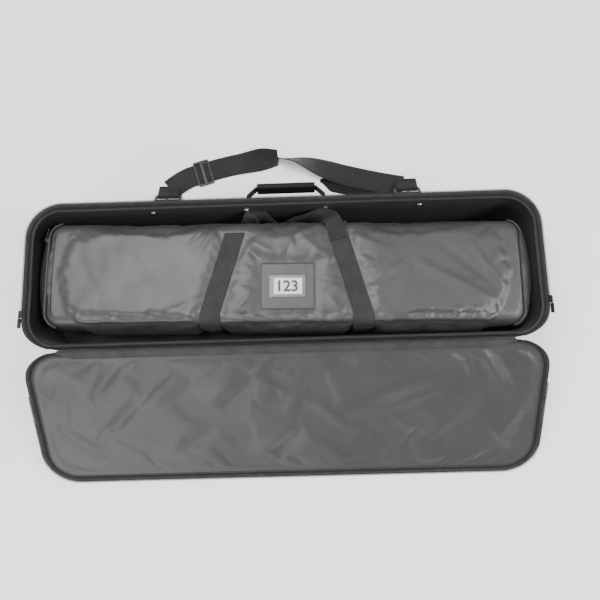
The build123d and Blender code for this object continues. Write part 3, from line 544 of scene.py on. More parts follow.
def add_light(name, place, target, size, power):
    data = bpy.data.lights.new(name, "AREA")
    data.shape, data.size, data.size_y = "RECTANGLE", size[0], size[1]
    data.energy = power
    made = bpy.data.objects.new(name, data)
    made.location = place
    made.rotation_mode = "QUATERNION"
    made.rotation_quaternion = (Vector(target) - Vector(place)).to_track_quat("-Z", "Y")
    bpy.context.scene.collection.objects.link(made)


add_camera((0.0447, -0.2249, 1.1737), pitch=1.41171, yaw=-0.07567, roll=-0.10467, lens=31.2)
add_light("key", (2.1, -0.5, 2.1), (0, -0.05, 0.05), (1.0, 1.0), 62)
add_light("ceiling", (-0.8, 0.5, 2.8), (0, -0.05, 0), (1.6, 1.6), 70)
add_light("front fill", (-1.3, -2.2, 1.25), (-0.1, -0.25, 0.1), (1.8, 0.9), 34)

world = bpy.data.worlds.new("studio")
world.use_nodes = True
world.node_tree.nodes["Background"].inputs["Color"].default_value = (1, 1, 1, 1)
world.node_tree.nodes["Background"].inputs["Strength"].default_value = 0.62
bpy.context.scene.world = world

floor_paint = finish_of("floor_paint", (0.93, 0.93, 0.93), 0.9, tint=0.01, speck=0.0, specular=0.1)
floor_glow = floor_paint.node_tree.nodes["Principled BSDF"].inputs
floor_glow["Emission Color"].default_value = (1, 1, 1, 1)
floor_glow["Emission Strength"].default_value = 0.4
floor_half = 6.0
floor_corners = [(x * floor_half, y * floor_half, -0.2 * mm) for x, y in ((-1, -1), (1, -1), (1, 1), (-1, 1))]
floor = piece("floor", floor_corners, [(0, 1, 2, 3)], floor_paint)


# ---------------------------------------------------------------- shoulder strap
# The route of the strap in part.py, with its middle raised where the strap turns over on its edge.
strap_width, strap_thick = 50 * mm, 1.9 * mm
strap_rest = 2.9 * mm
strap_route = [
    (-268, 236, 3.4), (-236, 262, 3), (-190, 275, 2), (-140, 289, 1.2), (-84, 298, 4), (-28, 299, 24),
    (0, 296, 24), (34, 292, 22), (86, 277, 10), (136, 260, 3), (196, 244, 3), (252, 231, 3), (280, 226, 3.4),
]


def nurbs_line(name, route):
    """Points along the NURBS spline whose control points are the route's, in millimetres."""
    curve = bpy.data.curves.new(name, "CURVE")
    curve.dimensions = "3D"
    curve.resolution_u = 24
    spline = curve.splines.new("NURBS")
    spline.points.add(len(route) - 1)
    for control, spot in zip(spline.points, route):
        control.co = (*(c * mm for c in spot), 1)
    spline.order_u = 3
    spline.use_endpoint_u = True
    holder = bpy.data.objects.new(name, curve)
    mesh = bpy.data.meshes.new_from_object(holder)
    line = coordinates(mesh)
    bpy.data.objects.remove(holder)
    bpy.data.curves.remove(curve)
    bpy.data.meshes.remove(mesh)
    return line


def ribbon(name, path, side, width, thick, material, body, columns=9):
    """Flat webbing whose middle follows a path; side points across it."""
    along = unit(np.gradient(path, axis=0))
    across = unit(side - (side * along).sum(1, keepdims=True) * along)
    up = unit(np.cross(along, across))
    share = np.linspace(-0.5, 0.5, columns)
    width = np.broadcast_to(width, len(path))[:, None, None]
    grid = path[:, None] + share[None, :, None] * width * across[:, None] + 0.5 * thick * up[:, None]
    return sheet(name, grid, thick, up[:, None], material, body), across, up


strap_path, _ = spaced(nurbs_line("strap line", strap_route), 3 * mm)
heading = unit(np.gradient(strap_path, axis=0))
level = unit(np.cross([0.0, 0.0, 1.0], heading))
lean = np.arcsin(np.clip((strap_path[:, 2] - strap_rest) / (strap_width * 0.46), 0, 1))
lean = np.where(np.arange(len(lean)) > lean.argmax(), pi - lean, lean)
strap_side = np.cos(lean)[:, None] * level + np.sin(lean)[:, None] * [0.0, 0.0, 1.0]
strap, strap_across, strap_up = ribbon("shoulder_strap", strap_path, strap_side, strap_width, strap_thick,
                                       strap_web, "tray")
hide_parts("strap_webbing")
strap_parts = []

tail_path, _ = spaced(nurbs_line("tail line", [
    (86, 248, 1.1), (118, 241, 1.1), (154, 232, 1.1), (196, 226, 1.1), (240, 222, 1.1)]), 3 * mm)
tail_side = np.cross([0.0, 0.0, 1.0], unit(np.gradient(tail_path, axis=0)))
tail_far = np.linalg.norm(tail_path - tail_path[0], axis=1)
tail_width = strap_width * (0.16 + 0.74 * ramp(tail_far, 0, 34 * mm))
tail, _, _ = ribbon("strap_tail", tail_path, tail_side, tail_width, 1.6 * mm, binding_ribbed, "tray")
strap_parts.append(tail)

bar_y, bar_z = 217.4 * mm, 9.2 * mm
loop_radius = 4.8 * mm
for name in ("left", "right"):
    low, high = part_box(f"hook_swivel_{name}")
    anchor_x = (low.x + high.x) / 2
    turn = np.radians(np.linspace(62, 298, 25))
    bend = np.stack([bar_y + loop_radius * np.cos(turn), bar_z + loop_radius * np.sin(turn)], -1)
    over = np.array([(bar_y + 21 * mm, 3.3 * mm), (bar_y + 16 * mm, 4.6 * mm), (bar_y + 10 * mm, 8.6 * mm)])
    under = np.array([(bar_y + 9 * mm, 1.9 * mm), (bar_y + 18 * mm, 1.1 * mm), (bar_y + 28 * mm, 1.1 * mm)])
    section = np.concatenate([over, bend, under])
    for _ in range(2):
        section[1:-1] = (section[:-2] + 2 * section[1:-1] + section[2:]) / 4
    loop = np.concatenate([np.full((len(section), 1), anchor_x), section], 1)
    loop, _ = spaced(loop, 2 * mm)
    made, _, _ = ribbon(f"strap_loop_{name}", loop, np.array([1.0, 0.0, 0.0]), strap_width, 1.7 * mm,
                        strap_web, "tray")
    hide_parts("strap_folds")
    strap_parts.append(made)

for share, name in ((-0.44, "a"), (0.44, "b")):
    edge = strap_path + share * strap_width * strap_across + 0.5 * strap_thick * strap_up
    strap_parts.append(stitches(f"strap_edge_{name}", edge, strap_up, "tray"))
for at in (8, 11, 14):
    across_line = strap_path[at] + np.linspace(-0.42, 0.42, 12)[:, None] * strap_width * strap_across[at]
    across_line = across_line + 0.5 * strap_thick * strap_up[at]
    strap_parts.append(stitches(f"strap_bar_{at}", across_line, strap_up[at], "tray"))
strap_parts += [frame["nodes"]["strap_adjuster"], frame["nodes"]["hook_swivel_left"],
                frame["nodes"]["hook_swivel_right"]]


# ---------------------------------------------------------------- tray: padded lining
lining_inset = 11.4 * mm
roll_inset, roll_top = 4.0 * mm, 156.3 * mm
roll_radius = (lining_inset - roll_inset) / 2
roll_turn = np.linspace(0, pi, 15)
lining_foot, back_height = 12.6 * mm, 60 * mm
wall_heights = np.append(np.array([140, 124, 108, 92, 76, 60, 44, 30, 18]) * mm, lining_foot)
profile = np.concatenate([
    [(roll_inset, back_height)],
    np.stack([roll_inset + roll_radius - roll_radius * np.cos(roll_turn),
              roll_top - roll_radius + roll_radius * np.sin(roll_turn)], -1),
    np.stack([np.full(len(wall_heights), lining_inset), wall_heights], -1),
    [(lining_inset - 3 * mm, lining_foot), (lining_inset - 3 * mm, back_height)],
])
plan, plan_normals = rounded_outline(tray_half_x, tray_half_y, corner, 3 * mm)
grid = np.concatenate([plan[:, None] - plan_normals[:, None] * profile[None, :, :1],
                       np.broadcast_to(profile[None, :, 1:], (len(plan), len(profile), 1))], -1)
ripple = soft_noise(grid * [1, 1, 0.35], 16.0, 1)
pucker = soft_noise(grid * [1, 1, 0.2], 75.0, 2)
on_roll = ramp(profile[:, 1], 120 * mm, 150 * mm)
push = 0.45 * mm * ripple + 0.35 * mm * pucker * on_roll[None, :]
grid[..., :2] += plan_normals[:, None] * push[..., None]
tray_lining = grid_piece("tray_lining", grid, tray_tricot, "tray",
                         wrap_rows=True, wrap_cols=True)
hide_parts("wall_foam", "wall_lining")


# ---------------------------------------------------------------- zips round the rim
coil_first = -80.5 * mm


def rim_run(reach, first, on_lid):
    """A line on the inner face of the tray's or the lid's zip tape, with its outward and up directions."""
    grow = reach * slope
    if on_lid:
        flat, out = three_sides(tray_half_x + grow, lid_far + grow, corner + grow, first - hinge_y)
        path = lid_points(with_height(flat, lid_rim + grow))
        out, up = lid_ways(with_height(out, 0.0)), lid_ways((0, 0, 1))
    else:
        flat, out = three_sides(tray_half_x + grow, tray_half_y + grow, corner + grow, first)
        path = with_height(flat, tape_base + grow)
        out, up = with_height(out, 0.0), np.array([0.0, 0.0, 1.0])
    return path, unit(out + up), unit(up - out)


tape_thick, tape_taper = 1.1 * mm, 60 * mm
tape_reaches = np.linspace(-0.6, 8.7, 7) * mm
tape_rows = {1.6 * mm: thread_dark, 6.2 * mm: thread_grey}
binding_inset, binding_lift = 1.8 * mm, 3.5 * mm
for body, on_lid, teeth_first in (("tray", False, coil_first), ("lid", True, -58 * mm)):
    half_y = lid_half_y if on_lid else tray_half_y
    flat, out = rounded_outline(tray_half_x, half_y, corner, 3 * mm)
    turned = np.roll(np.arange(len(flat)), -int(np.argmax((flat[:, 0] > 0) & (out[:, 1] < -0.999))))
    flat, out = flat[turned], out[turned]
    kept = out[:, 1] > -0.97
    flat, out, up = flat[kept], with_height(out[kept], 0.0), np.array([0.0, 0.0, 1.0])
    path = with_height(flat, tape_base)
    if on_lid:
        path = lid_points(with_height(flat + [0, lid_middle], lid_rim))
        out, up = lid_ways(out), lid_ways(up)
    across, up = unit(out + up), unit(up - out)
    far = lengths_along(path[:, None], 0, False)
    narrow = 0.1 + 0.9 * ramp(np.minimum(far, far[-1] - far), 0, tape_taper)
    place = path[:, None] + across[:, None] * (narrow[:, None] * tape_reaches)[..., None]
    tape = sheet(f"{body}_zip_cloth", place, tape_thick, up[:, None], tape_woven, body)
    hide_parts("lid_zip_tape" if on_lid else "base_zip_tape")
    for reach, thread in tape_rows.items():
        row = path + across * (narrow * reach)[:, None] + up * 0.1 * mm
        stitches(f"{body}_tape_stitches_{reach / mm:.0f}", row, up, body, thread)
    path, across, up = rim_run(10.4 * mm, teeth_first, on_lid)
    teeth = zip_teeth(f"{body}_zip_teeth", path - up * 0.6 * mm, across, up, body, half_width=1.9 * mm)
    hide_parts("lid_zip_coil" if on_lid else "base_zip_coil")
    plan, _ = rounded_outline(tray_half_x - binding_inset, half_y - binding_inset, corner - binding_inset)
    line, up = with_height(plan, shell_top + binding_lift), (0.0, 0.0, 1.0)
    if on_lid:
        line = lid_points(with_height(plan + [0, lid_middle], lid_rim + binding_lift))
        up = lid_ways((0, 0, 1))
    stitches(f"{body}_binding_stitches", line, up, body, closed=True)


# ---------------------------------------------------------------- lid: padded panel with a sewn border
panel_inset = 3.6 * mm
panel_low, panel_high = -9.6 * mm, -2.7 * mm
panel_half_x, panel_half_y = tray_half_x - panel_inset, lid_half_y - panel_inset
panel_corner = corner - panel_inset


def edge_distance(x, y, half_x, half_y, radius):
    qx, qy = np.abs(x) - (half_x - radius), np.abs(y) - (half_y - radius)
    outside = np.hypot(np.maximum(qx, 0), np.maximum(qy, 0))
    return radius - outside - np.minimum(np.maximum(qx, qy), 0)


def panel_roll(edge):
    """Height of the panel's rounded edge, by distance from its outline."""
    share = np.clip(edge / (6 * mm), 0, 1)
    return panel_low + (panel_high - panel_low) * np.sqrt(1 - (1 - share) ** 2)


columns, rows = 271, 91
t = np.linspace(-1, 1, rows)
row_y = panel_half_y * np.sin(pi / 2 * t)
gap = np.clip(panel_corner - (panel_half_y - np.abs(row_y)), 0, panel_corner)
row_half = panel_half_x - panel_corner + np.sqrt(panel_corner ** 2 - gap ** 2)
s = np.linspace(-1, 1, columns)
s = 0.75 * s + 0.25 * np.sin(pi / 2 * s)
px = row_half[:, None] * s[None, :]
py = np.broadcast_to(row_y[:, None], px.shape)
edge = edge_distance(px, py, panel_half_x, panel_half_y, panel_corner)
inner = ramp(edge, 9 * mm, 30 * mm)
flat_points = np.stack([px, py, np.zeros_like(px)], -1)
diagonal = turned_flat(flat_points, 0.85)
broad = soft_noise(diagonal * [1.0, 0.3, 1], 9.0, 5)
ridges = 0.6 - np.abs(soft_noise(diagonal * [1.0, 0.3, 1], 13.0, 8)) * 1.8
small = soft_noise(diagonal * [1.0, 0.4, 1], 34.0, 6)
lid_folds = folds(np.stack([px, lid_middle + py], -1), [
    (383, 6, 432, 105, 11, 3.4), (350, 8, 372, 82, 9, -2.2), (414, 12, 462, 96, 14, -2.6),
    (318, 6, 346, 58, 8, 2.2), (476, 24, 512, 82, 9, 2.4), (121, 140, 310, 60, 20, -3.2),
    (140, 168, 330, 84, 15, 2.4), (-368, 8, -430, 52, 9, -2.4), (-326, 26, -404, 104, 12, -2.8),
    (-300, 118, -374, 182, 13, -2.8), (-94, 46, -168, 128, 17, 2.6), (-60, 70, -140, 140, 14, -2.6),
    (32, 182, -36, 250, 15, -3.0), (434, 224, 490, 120, 13, 2.6), (288, 218, 390, 118, 15, 2.4),
    (146, 4, 82, 52, 9, -2.2), (415, 190, 464, 248, 10, 2.8), (-90, 246, 46, 178, 13, 2.2),
    (-210, 52, -286, 128, 12, 2.2), (-20, 12, -70, 60, 9, 2.0), (232, 236, 300, 172, 12, -2.2),
    (-480, 170, -400, 236, 12, 2.2), (-240, 236, -150, 190, 12, -2.0), (30, 100, -10, 150, 12, 2.0),
    (210, 150, 260, 200, 10, 1.8),
])
height = panel_roll(edge) + inner * ((2.4 * broad + 0.6 * ridges + 0.25 * small) * mm + 1.5 * lid_folds)
lid_grid = np.stack([px, lid_middle + py, height], -1)
quads, _ = grid_faces(rows, columns, False, False)
rim = np.concatenate([np.arange(columns), columns * np.arange(2, rows) - 1,
                      (rows - 1) * columns + np.arange(columns)[::-1], columns * np.arange(rows - 2, 0, -1)])
below = lid_grid.reshape(-1, 3)[rim] * [1, 1, 0] + [0, 0, -10.4 * mm]
count, total = len(rim), rows * columns
faces = [tuple(q) for q in quads[:, ::-1]]
faces += [(rim[k], rim[(k + 1) % count], total + (k + 1) % count, total + k) for k in range(count)]
faces.append(tuple(total + k for k in range(count)))
top = piece("lid_panel", lid_points(lid_grid.reshape(-1, 3)), faces[:len(quads)], lid_nylon)
settle(top, edge.reshape(-1) < 16 * mm, slack=0.006, pressure=0.0, cap=1.0 * mm)
settled = coordinates(top.data)
bpy.data.objects.remove(top)
flat_uv = np.concatenate([lid_grid.reshape(-1, 3)[:, :2], below[:, :2]])
lid_panel = piece("lid_panel", np.concatenate([settled, lid_points(below)]), faces, lid_nylon, "lid",
                  flat_uv[np.concatenate(faces)])
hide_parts("lid_foam", "lid_lining")

# The sewn border lies on the panel's rounded edge.
border_in, border_out = 8.4 * mm, 3.8 * mm
plan, normals = rounded_outline(panel_half_x, panel_half_y, panel_corner, 3 * mm)
insets = np.linspace(border_out, border_in, 7) - panel_inset
ring = plan[:, None] - normals[:, None] * insets[None, :, None]
border = lid_points(with_height(ring + [0, lid_middle], panel_roll(insets) + 0.9 * mm))
lid_up = lid_ways((0, 0, 1))
sheet("lid_border", border, 1.4 * mm, lid_up, tape_woven, "lid", wrap=True)
stitches("lid_border_stitches_4", border[:, 4] + lid_up * 0.1 * mm, lid_up, "lid",
         thread_grey, closed=True)


# ---------------------------------------------------------------- fabric hinge
hinge_half = 452 * mm
hinge_section = np.array([
    (-tray_half_y - 1.2 * mm, 140 * mm), (-tray_half_y - 1.4 * mm, 146 * mm),
    (-tray_half_y - 3.0 * mm, 152.4 * mm), (hinge_y + 1.6 * mm, rim_z - 1.3 * mm),
])
fall = np.array([(2, -1.3), (4.5, -1.1), (7, -0.9), (10, -0.7), (13.5, -0.7)]) * mm
lid_part = lid_points(np.concatenate([np.zeros((len(fall), 1)), fall], 1))[:, 1:]
section = np.concatenate([hinge_section, lid_part])
far = np.concatenate([[0], np.cumsum(np.hypot(*np.diff(section, axis=0).T))])
at = np.linspace(0, far[-1], 41)
section = np.stack([np.interp(at, far, section[:, k]) for k in range(2)], -1)
for _ in range(2):
    section[1:-1] = (section[:-2] + 2 * section[1:-1] + section[2:]) / 4
xs = np.linspace(-hinge_half, hinge_half, 301)
grid = np.stack(np.broadcast_arrays(xs[:, None], section[None, :, 0], section[None, :, 1]), -1)
tangent = unit(np.gradient(section, axis=0))
outward = np.stack([np.zeros(len(section)), -tangent[:, 1], tangent[:, 0]], -1)
outward = outward * np.sign(outward[-1] @ lid_up)
# Near the case's corners the tape narrows towards the hinge line.
pivot = int(np.argmin(np.abs(section[:, 0] - hinge_y)))
narrow = 1 - 0.8 * ramp(np.abs(xs), 405 * mm, hinge_half) ** 2
grid[:, pivot:, 1:] = (section[pivot] + (section[None, pivot:] - section[pivot])
                       * narrow[:, None, None])
wave = soft_noise(grid * [1, 0.2, 0.2], 22.0, 12)
free = np.sin(pi * np.linspace(0, 1, len(section))) ** 2
grid = grid + outward[None] * (0.5 * mm * wave * free[None, :])[..., None]
hinge_tape = sheet("hinge_tape", grid, 0.9 * mm, outward, hinge_woven, None)
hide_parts("base_hinge_tape", "lid_hinge_tape")
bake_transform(hinge_tape)
for row, body in ((22, "lid"), (37, "lid"), (4, "tray")):
    stitches(f"hinge_stitches_{row}", grid[:, row] + outward[row] * 0.1 * mm, outward[row], body)


# ---------------------------------------------------------------- inner bag
bag_half_x, bag_half_y, bulge = 482 * mm, 110 * mm, 18 * mm
bag_corner, bag_edge = 34 * mm, 24 * mm
end_radius = (bag_half_y ** 2 + bulge ** 2) / (2 * bulge)
arc_centre_x = bag_half_x + bulge - end_radius
corner_y = bag_half_y - bag_corner
corner_x = arc_centre_x + ((end_radius - bag_corner) ** 2 - corner_y ** 2) ** 0.5
corner_turn = np.arctan2(corner_y, corner_x - arc_centre_x)


def bag_end(turns, inset=0.0, side=1):
    """Points and outward normals round one end of the bag: turn 0 is its tip, a quarter turn its sides."""
    turns = np.asarray(turns, float)
    out = cos_sin(turns)
    tip = np.array([arc_centre_x, 0.0]) + (end_radius - inset) * out
    bend_centre = np.stack([np.full(turns.shape, corner_x), np.sign(turns) * corner_y], -1)
    bend = bend_centre + (bag_corner - inset) * out
    flat = np.where((np.abs(turns) > corner_turn)[..., None], bend, tip)
    return flat * [side, 1], out * [side, 1]


def end_point(turns, angle, reach, side):
    """Points round the edge between the bag's top and its end, and the directions that face out of it."""
    flat, out = bag_end(turns, bag_edge, side)
    angle, reach = (np.broadcast_to(value, np.shape(turns)) for value in (angle, reach))
    face = with_height(out * np.cos(angle)[..., None], np.sin(angle))
    return with_height(flat, bag_height - bag_edge) + face * reach[..., None], face


def even_turns(inset, step, low=-pi / 2, high=pi / 2):
    turns = np.linspace(low, high, 721)
    flat, _ = bag_end(turns, inset)
    far = np.concatenate([[0], np.cumsum(np.linalg.norm(np.diff(flat, axis=0), axis=1))])
    return np.interp(np.linspace(0, far[-1], max(3, int(far[-1] / step))), far, turns)


# The closed shell of the bag, a little under its full size, before its cloth puffs out.
slack_inset = 1.2 * mm
turns = even_turns(0, 5 * mm)
right, right_out = bag_end(turns)
left, left_out = bag_end(turns[::-1], side=-1)
straight = np.linspace(-corner_x, corner_x, 180)[1:-1]
rear = np.stack([straight[::-1], np.full(len(straight), bag_half_y)], -1)
front = np.stack([straight, np.full(len(straight), -bag_half_y)], -1)
plan = np.concatenate([right, rear, left, front])
plan_out = np.concatenate([right_out, np.tile([0.0, 1.0], (len(rear), 1)), left_out,
                           np.tile([0.0, -1.0], (len(front), 1))])
quarter = np.linspace(0, pi / 2, 7)
rows = [(bag_edge * (1 - sin(a)), bag_edge * (1 - cos(a))) for a in quarter]
rows += [(0.0, z) for z in np.linspace(bag_edge, bag_height - bag_edge, 18)[1:-1]]
rows += [(bag_edge * (1 - cos(a)), bag_height - bag_edge * (1 - sin(a))) for a in quarter]
rows = np.array(rows)
rings = plan[None] - plan_out[None] * (rows[:, :1, None] + slack_inset)
rings = with_height(rings, rows[:, 1:] * (1 - 2 * slack_inset / bag_height) + slack_inset)
quads, _ = grid_faces(len(rows), len(plan), False, True)
caps = [tuple(range(len(plan)))[::-1], tuple(range((len(rows) - 1) * len(plan), len(rows) * len(plan)))]
blank = piece("bag_body", rings.reshape(-1, 3), [tuple(q[::-1]) for q in quads] + caps, bag_coated)


def baked(thing):
    """A new object with the shape that a thing's modifiers give it."""
    mesh = bpy.data.meshes.new_from_object(thing.evaluated_get(bpy.context.evaluated_depsgraph_get()))
    name, material = thing.name, thing.data.materials[0]
    bpy.data.objects.remove(thing)
    mesh.materials.clear()
    mesh.materials.append(material)
    mesh.polygons.foreach_set("use_smooth", [True] * len(mesh.polygons))
    made = bpy.data.objects.new(name, mesh)
    made.name = name
    bpy.context.scene.collection.objects.link(made)
    return made


remesh = blank.modifiers.new("Remesh", "REMESH")
remesh.mode, remesh.voxel_size = "VOXEL", 5.5 * mm
body = baked(blank)

bands = {"left": (-148 * mm, -98 * mm), "right": (161 * mm, 110 * mm)}
band_width, band_thick = 38 * mm, 1.8 * mm
patch_x, patch_y = 9.5 * mm, -29 * mm
patch_half = (55 * mm, 48 * mm)


def band_middle(y, front_x, rear_x):
    reach = bag_half_y - bag_edge
    return np.interp(y, (-reach, reach), (front_x, rear_x))


def sewn_down(co):
    """Distance from the nearest place where something is sewn to the bag or where it is held."""
    x, y, z = co.T
    off = np.full(len(co), 1.0)
    for front_x, rear_x in bands.values():
        off = np.minimum(off, np.maximum(0, np.abs(x - band_middle(y, front_x, rear_x)) - band_width / 2))
    label = np.hypot(np.maximum(np.abs(x - patch_x) - patch_half[0], 0),
                     np.maximum(np.abs(y - patch_y) - patch_half[1], 0))
    off = np.minimum(off, np.where(z > bag_height / 2, label, 1.0))
    limits = (bag_half_x + bulge, corner_x + 26 * mm, corner_x)
    limit = np.interp(np.abs(y), (0, corner_y, bag_half_y), limits)
    ends = np.maximum(0, limit - 40 * mm - np.abs(x))
    off = np.minimum(off, ends)
    low = np.maximum(0, z - 22 * mm)
    return np.minimum(off, low)


co = coordinates(body.data)
start = vertex_normals(body.data)
loose = ramp(sewn_down(co), 0, 30 * mm)
lean = turned_flat(co, 0.7)
seedling = soft_noise(lean * [1, 0.35, 1], 14.0, 21) + 0.6 * soft_noise(co, 34.0, 22)
set_coordinates(body.data, co + start * (1.1 * mm * seedling * loose)[:, None])
settle(body, sewn_down(co) < 2 * mm, slack=0.011, pressure=3.0, cap=4.5 * mm)
smoother = body.modifiers.new("Subdivision", "SUBSURF")
smoother.levels = smoother.render_levels = 1
body = baked(body)
co, outward = coordinates(body.data), vertex_normals(body.data)
loose = ramp(sewn_down(co), 1 * mm, 22 * mm)
on_top = ramp(outward[:, 2], 0.5, 0.9)
creased = ramp(-co[:, 1], 70 * mm, 98 * mm) * ramp(co[:, 2], 60 * mm, 110 * mm)
lean = turned_flat(co, 0.75)
broad = soft_noise(lean * [1, 0.3, 1], 8.0, 31)
ridges = 1 - 2 * np.abs(soft_noise(lean * [1, 0.42, 1], 17.0, 32))
crumple = 1 - 2 * np.abs(soft_noise(co * [0.6, 1, 1.4], 24.0, 33))
fine = soft_noise(co * [1, 0.7, 1], 60.0, 34)
# Folds across the top, and a sharper crease along the top of the front.
bag_folds = folds(co[:, :2], [
    (262, 26, 452, -80, 10, 3.4), (376, 62, 454, -54, 8, 3.0), (316, 60, 446, -50, 9, -2.8),
    (296, -74, 288, -104, 5, 3.4), (345, -72, 348, -104, 5, 3.2), (382, -70, 370, -104, 5, 3.4),
    (398, -106, 442, -78, 5, 3.4), (452, -76, 466, -108, 5, 3.4), (420, -60, 424, -100, 5, -2.6),
    (322, -78, 312, -104, 4, -2.6), (364, -80, 356, -106, 4, -2.6), (454, 44, 450, -34, 4, -2.6),
    (466, 30, 460, -70, 5, 2.4), (-136, 100, -172, 40, 6, 2.6), (-150, 96, -196, 58, 5, -2.4),
    (-84, 76, -10, 28, 8, 2.6), (-76, 50, -30, 10, 7, -2.2), (16, 92, 120, 0, 9, 3.0),
    (-20, 62, 82, 98, 7, 2.2), (134, 80, 212, 44, 8, 2.8), (140, 50, 190, 26, 7, -2.2),
    (172, -30, 240, 24, 10, 2.6), (-168, -80, -240, -100, 5, 2.6), (-176, -60, -260, -88, 6, -2.2),
    (-70, -80, -20, -104, 5, 2.4), (60, -84, 110, -104, 5, 2.2), (-330, 76, -196, -60, 14, 1.2),
    (-430, 60, -380, -40, 12, -0.9), (-300, 90, -240, 60, 8, 2.0), (-456, -70, -380, -104, 6, 2.8),
    (-360, -94, -300, -104, 5, 2.2), (168, -84, 230, -104, 5, 2.6), (-120, 60, -90, 20, 5, 2.0),
    (-60, -40, -96, -76, 6, 2.2), (90, -50, 128, -90, 6, 2.2),
])
edge_at = np.hypot(co[:, 1] + bag_half_y - bag_edge, co[:, 2] - bag_height + bag_edge)
on_edge = (co[:, 1] < -bag_half_y + bag_edge) & (co[:, 2] > bag_height - bag_edge)
edge_turn = np.arctan2(co[:, 2] - bag_height + bag_edge, -bag_half_y + bag_edge - co[:, 1])
crest = np.where(on_edge, np.exp(-((edge_turn - 1.12) / 0.32) ** 2), 0) * (edge_at > bag_edge / 2)
wander = 1 + 0.25 * soft_noise(co * [1, 0, 0], 9.0, 36)
lift = on_top * (1.3 * broad + 0.45 * ridges) + 1.3 * creased * crumple + (0.2 + 0.35 * creased) * fine
bulging = ramp(-outward[:, 1], 0.55, 0.95) * np.sin(pi * np.clip(co[:, 2] / bag_height, 0, 1))
lift = lift * mm + 0.75 * on_top * bag_folds + 4.2 * mm * crest * wander + 5.5 * mm * bulging
set_coordinates(body.data, bag_points(co + outward * (lift * loose)[:, None]))
box_uv(body.data)
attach(body, "bag")
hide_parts("bag_cover", "bag_foam", "bag_lining")


# ---------------------------------------------------------------- bag: webbing bands
def band_section(step=4 * mm):
    """The bag's section from low on its front to low on its rear, with outward normals."""
    turns = np.linspace(pi, pi / 2, 9)
    low = np.linspace(13 * mm, bag_height - bag_edge, 22)[:-1]
    front_side = np.stack([np.full(len(low), -bag_half_y), low], -1)
    bend = np.array([-bag_half_y + bag_edge, bag_height - bag_edge]) + bag_edge * cos_sin(turns)
    flat = np.linspace(-bag_half_y + bag_edge, 0, ceil((bag_half_y - bag_edge) / step))[1:]
    over = np.stack([flat, np.full(len(flat), bag_height)], -1)
    half = np.concatenate([front_side, bend, over])
    half_out = np.concatenate([np.tile([-1.0, 0.0], (len(low), 1)), cos_sin(turns),
                               np.tile([0.0, 1.0], (len(flat), 1))])
    flip = np.array([-1.0, 1.0])
    return [np.concatenate([rows, (rows * flip)[:-1][::-1]]) for rows in (half, half_out)]


full_section, full_out = band_section()
across = np.linspace(-0.5, 0.5, 11)
for name, (front_x, rear_x) in bands.items():
    short = full_section[:, 0] < (84 * mm if name == "left" else 1)
    section, section_out = full_section[short], full_out[short]
    middle = band_middle(section[:, 0], front_x, rear_x)
    x = middle[:, None] + across[None, :] * band_width
    out = np.concatenate([np.zeros((len(section), 1)), section_out], 1)[:, None]
    sag = 0.25 * mm * np.sin(section[:, 0] * 70 + front_x * 40)[:, None] + 0.0 * x
    place = np.stack(np.broadcast_arrays(x, section[:, :1], section[:, 1:]), -1)
    place = place + out * (band_thick + 0.3 * mm + sag)[..., None]
    turn = bag_ways(np.broadcast_to(out, place.shape))
    band = sheet(f"bag_band_{name}", bag_points(place), band_thick + 1.2 * mm, turn, bag_web, "bag")
    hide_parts(f"bag_webbing_{name}")
    for column, label in ((1, "a"), (9, "b")):
        stitches(f"bag_band_{name}_stitches_{label}", bag_points(place[:, column]), turn[:, column], "bag")


def chaikin(points, times=4):
    """Cuts a path's corners until it is smooth, ends kept."""
    points = np.asarray(points, float)
    for _ in range(times):
        near, far = points[:-1] * 0.75 + points[1:] * 0.25, points[:-1] * 0.25 + points[1:] * 0.75
        points = np.concatenate([points[:1], np.stack([near, far], 1).reshape(-1, points.shape[1])[1:-1],
                                 points[-1:]])
    return points


# The bag's rear handle: it carries on from the right band, folds over on the tray's rear wall, drops behind
# the bag and comes up again as a second hump. Each row is a place along, across and up the bag, then the
# way its width points.
handle_width = 34 * mm
handle = chaikin([
    (113, 66, 134.6, -1, -0.2, 0), (108, 90, 134.8, -1, -0.25, 0), (102, 106, 135, -1, -0.3, 0),
    (96, 115, 134, -0.95, -0.45, -0.1), (86, 120, 119, -0.6, -0.7, -0.4), (72, 124, 106, -0.1, -0.5, -0.85),
    (56, 125, 99, 0, -0.2, -1), (38, 124, 93, 0, 0, -1), (24, 124, 88, 0, 0, -1), (12, 120, 77, 0, 0, -1),
    (-4, 116, 70, 0, 0, -1), (-20, 117, 74, 0, 0, -1), (-32, 121, 88, 0, 0, -1),
    (-43, 125, 100, 0.1, -0.2, -1), (-52, 127, 107, 0.3, -0.5, -0.8), (-59, 127, 113, 0.7, -0.6, -0.3),
    (-65, 123, 115, 1, -0.2, 0), (-69, 117, 108, 1, 0, 0), (-71, 113, 96, 1, 0, 0), (-72, 113, 82, 1, 0, 0),
])
path, (sides,) = spaced(handle[:, :3] * mm, 3 * mm, [handle[:, 3:]])
path, sides = bag_points(path), bag_ways(sides)
# The handle is the same webbing as the bands, but it takes the darker strap webbing as painted shade, because
# it lies in shadow at the tray's rear wall.
rear_handle, handle_across, handle_up = ribbon("bag_rear_handle", path, sides, handle_width, band_thick,
                                               strap_web, "bag")
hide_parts("bag_handle")
for share, label in ((-0.42, "a"), (0.42, "b")):
    edge = path + share * handle_width * handle_across + 0.5 * band_thick * handle_up
    stitches(f"bag_handle_stitches_{label}", edge, handle_up, "bag")


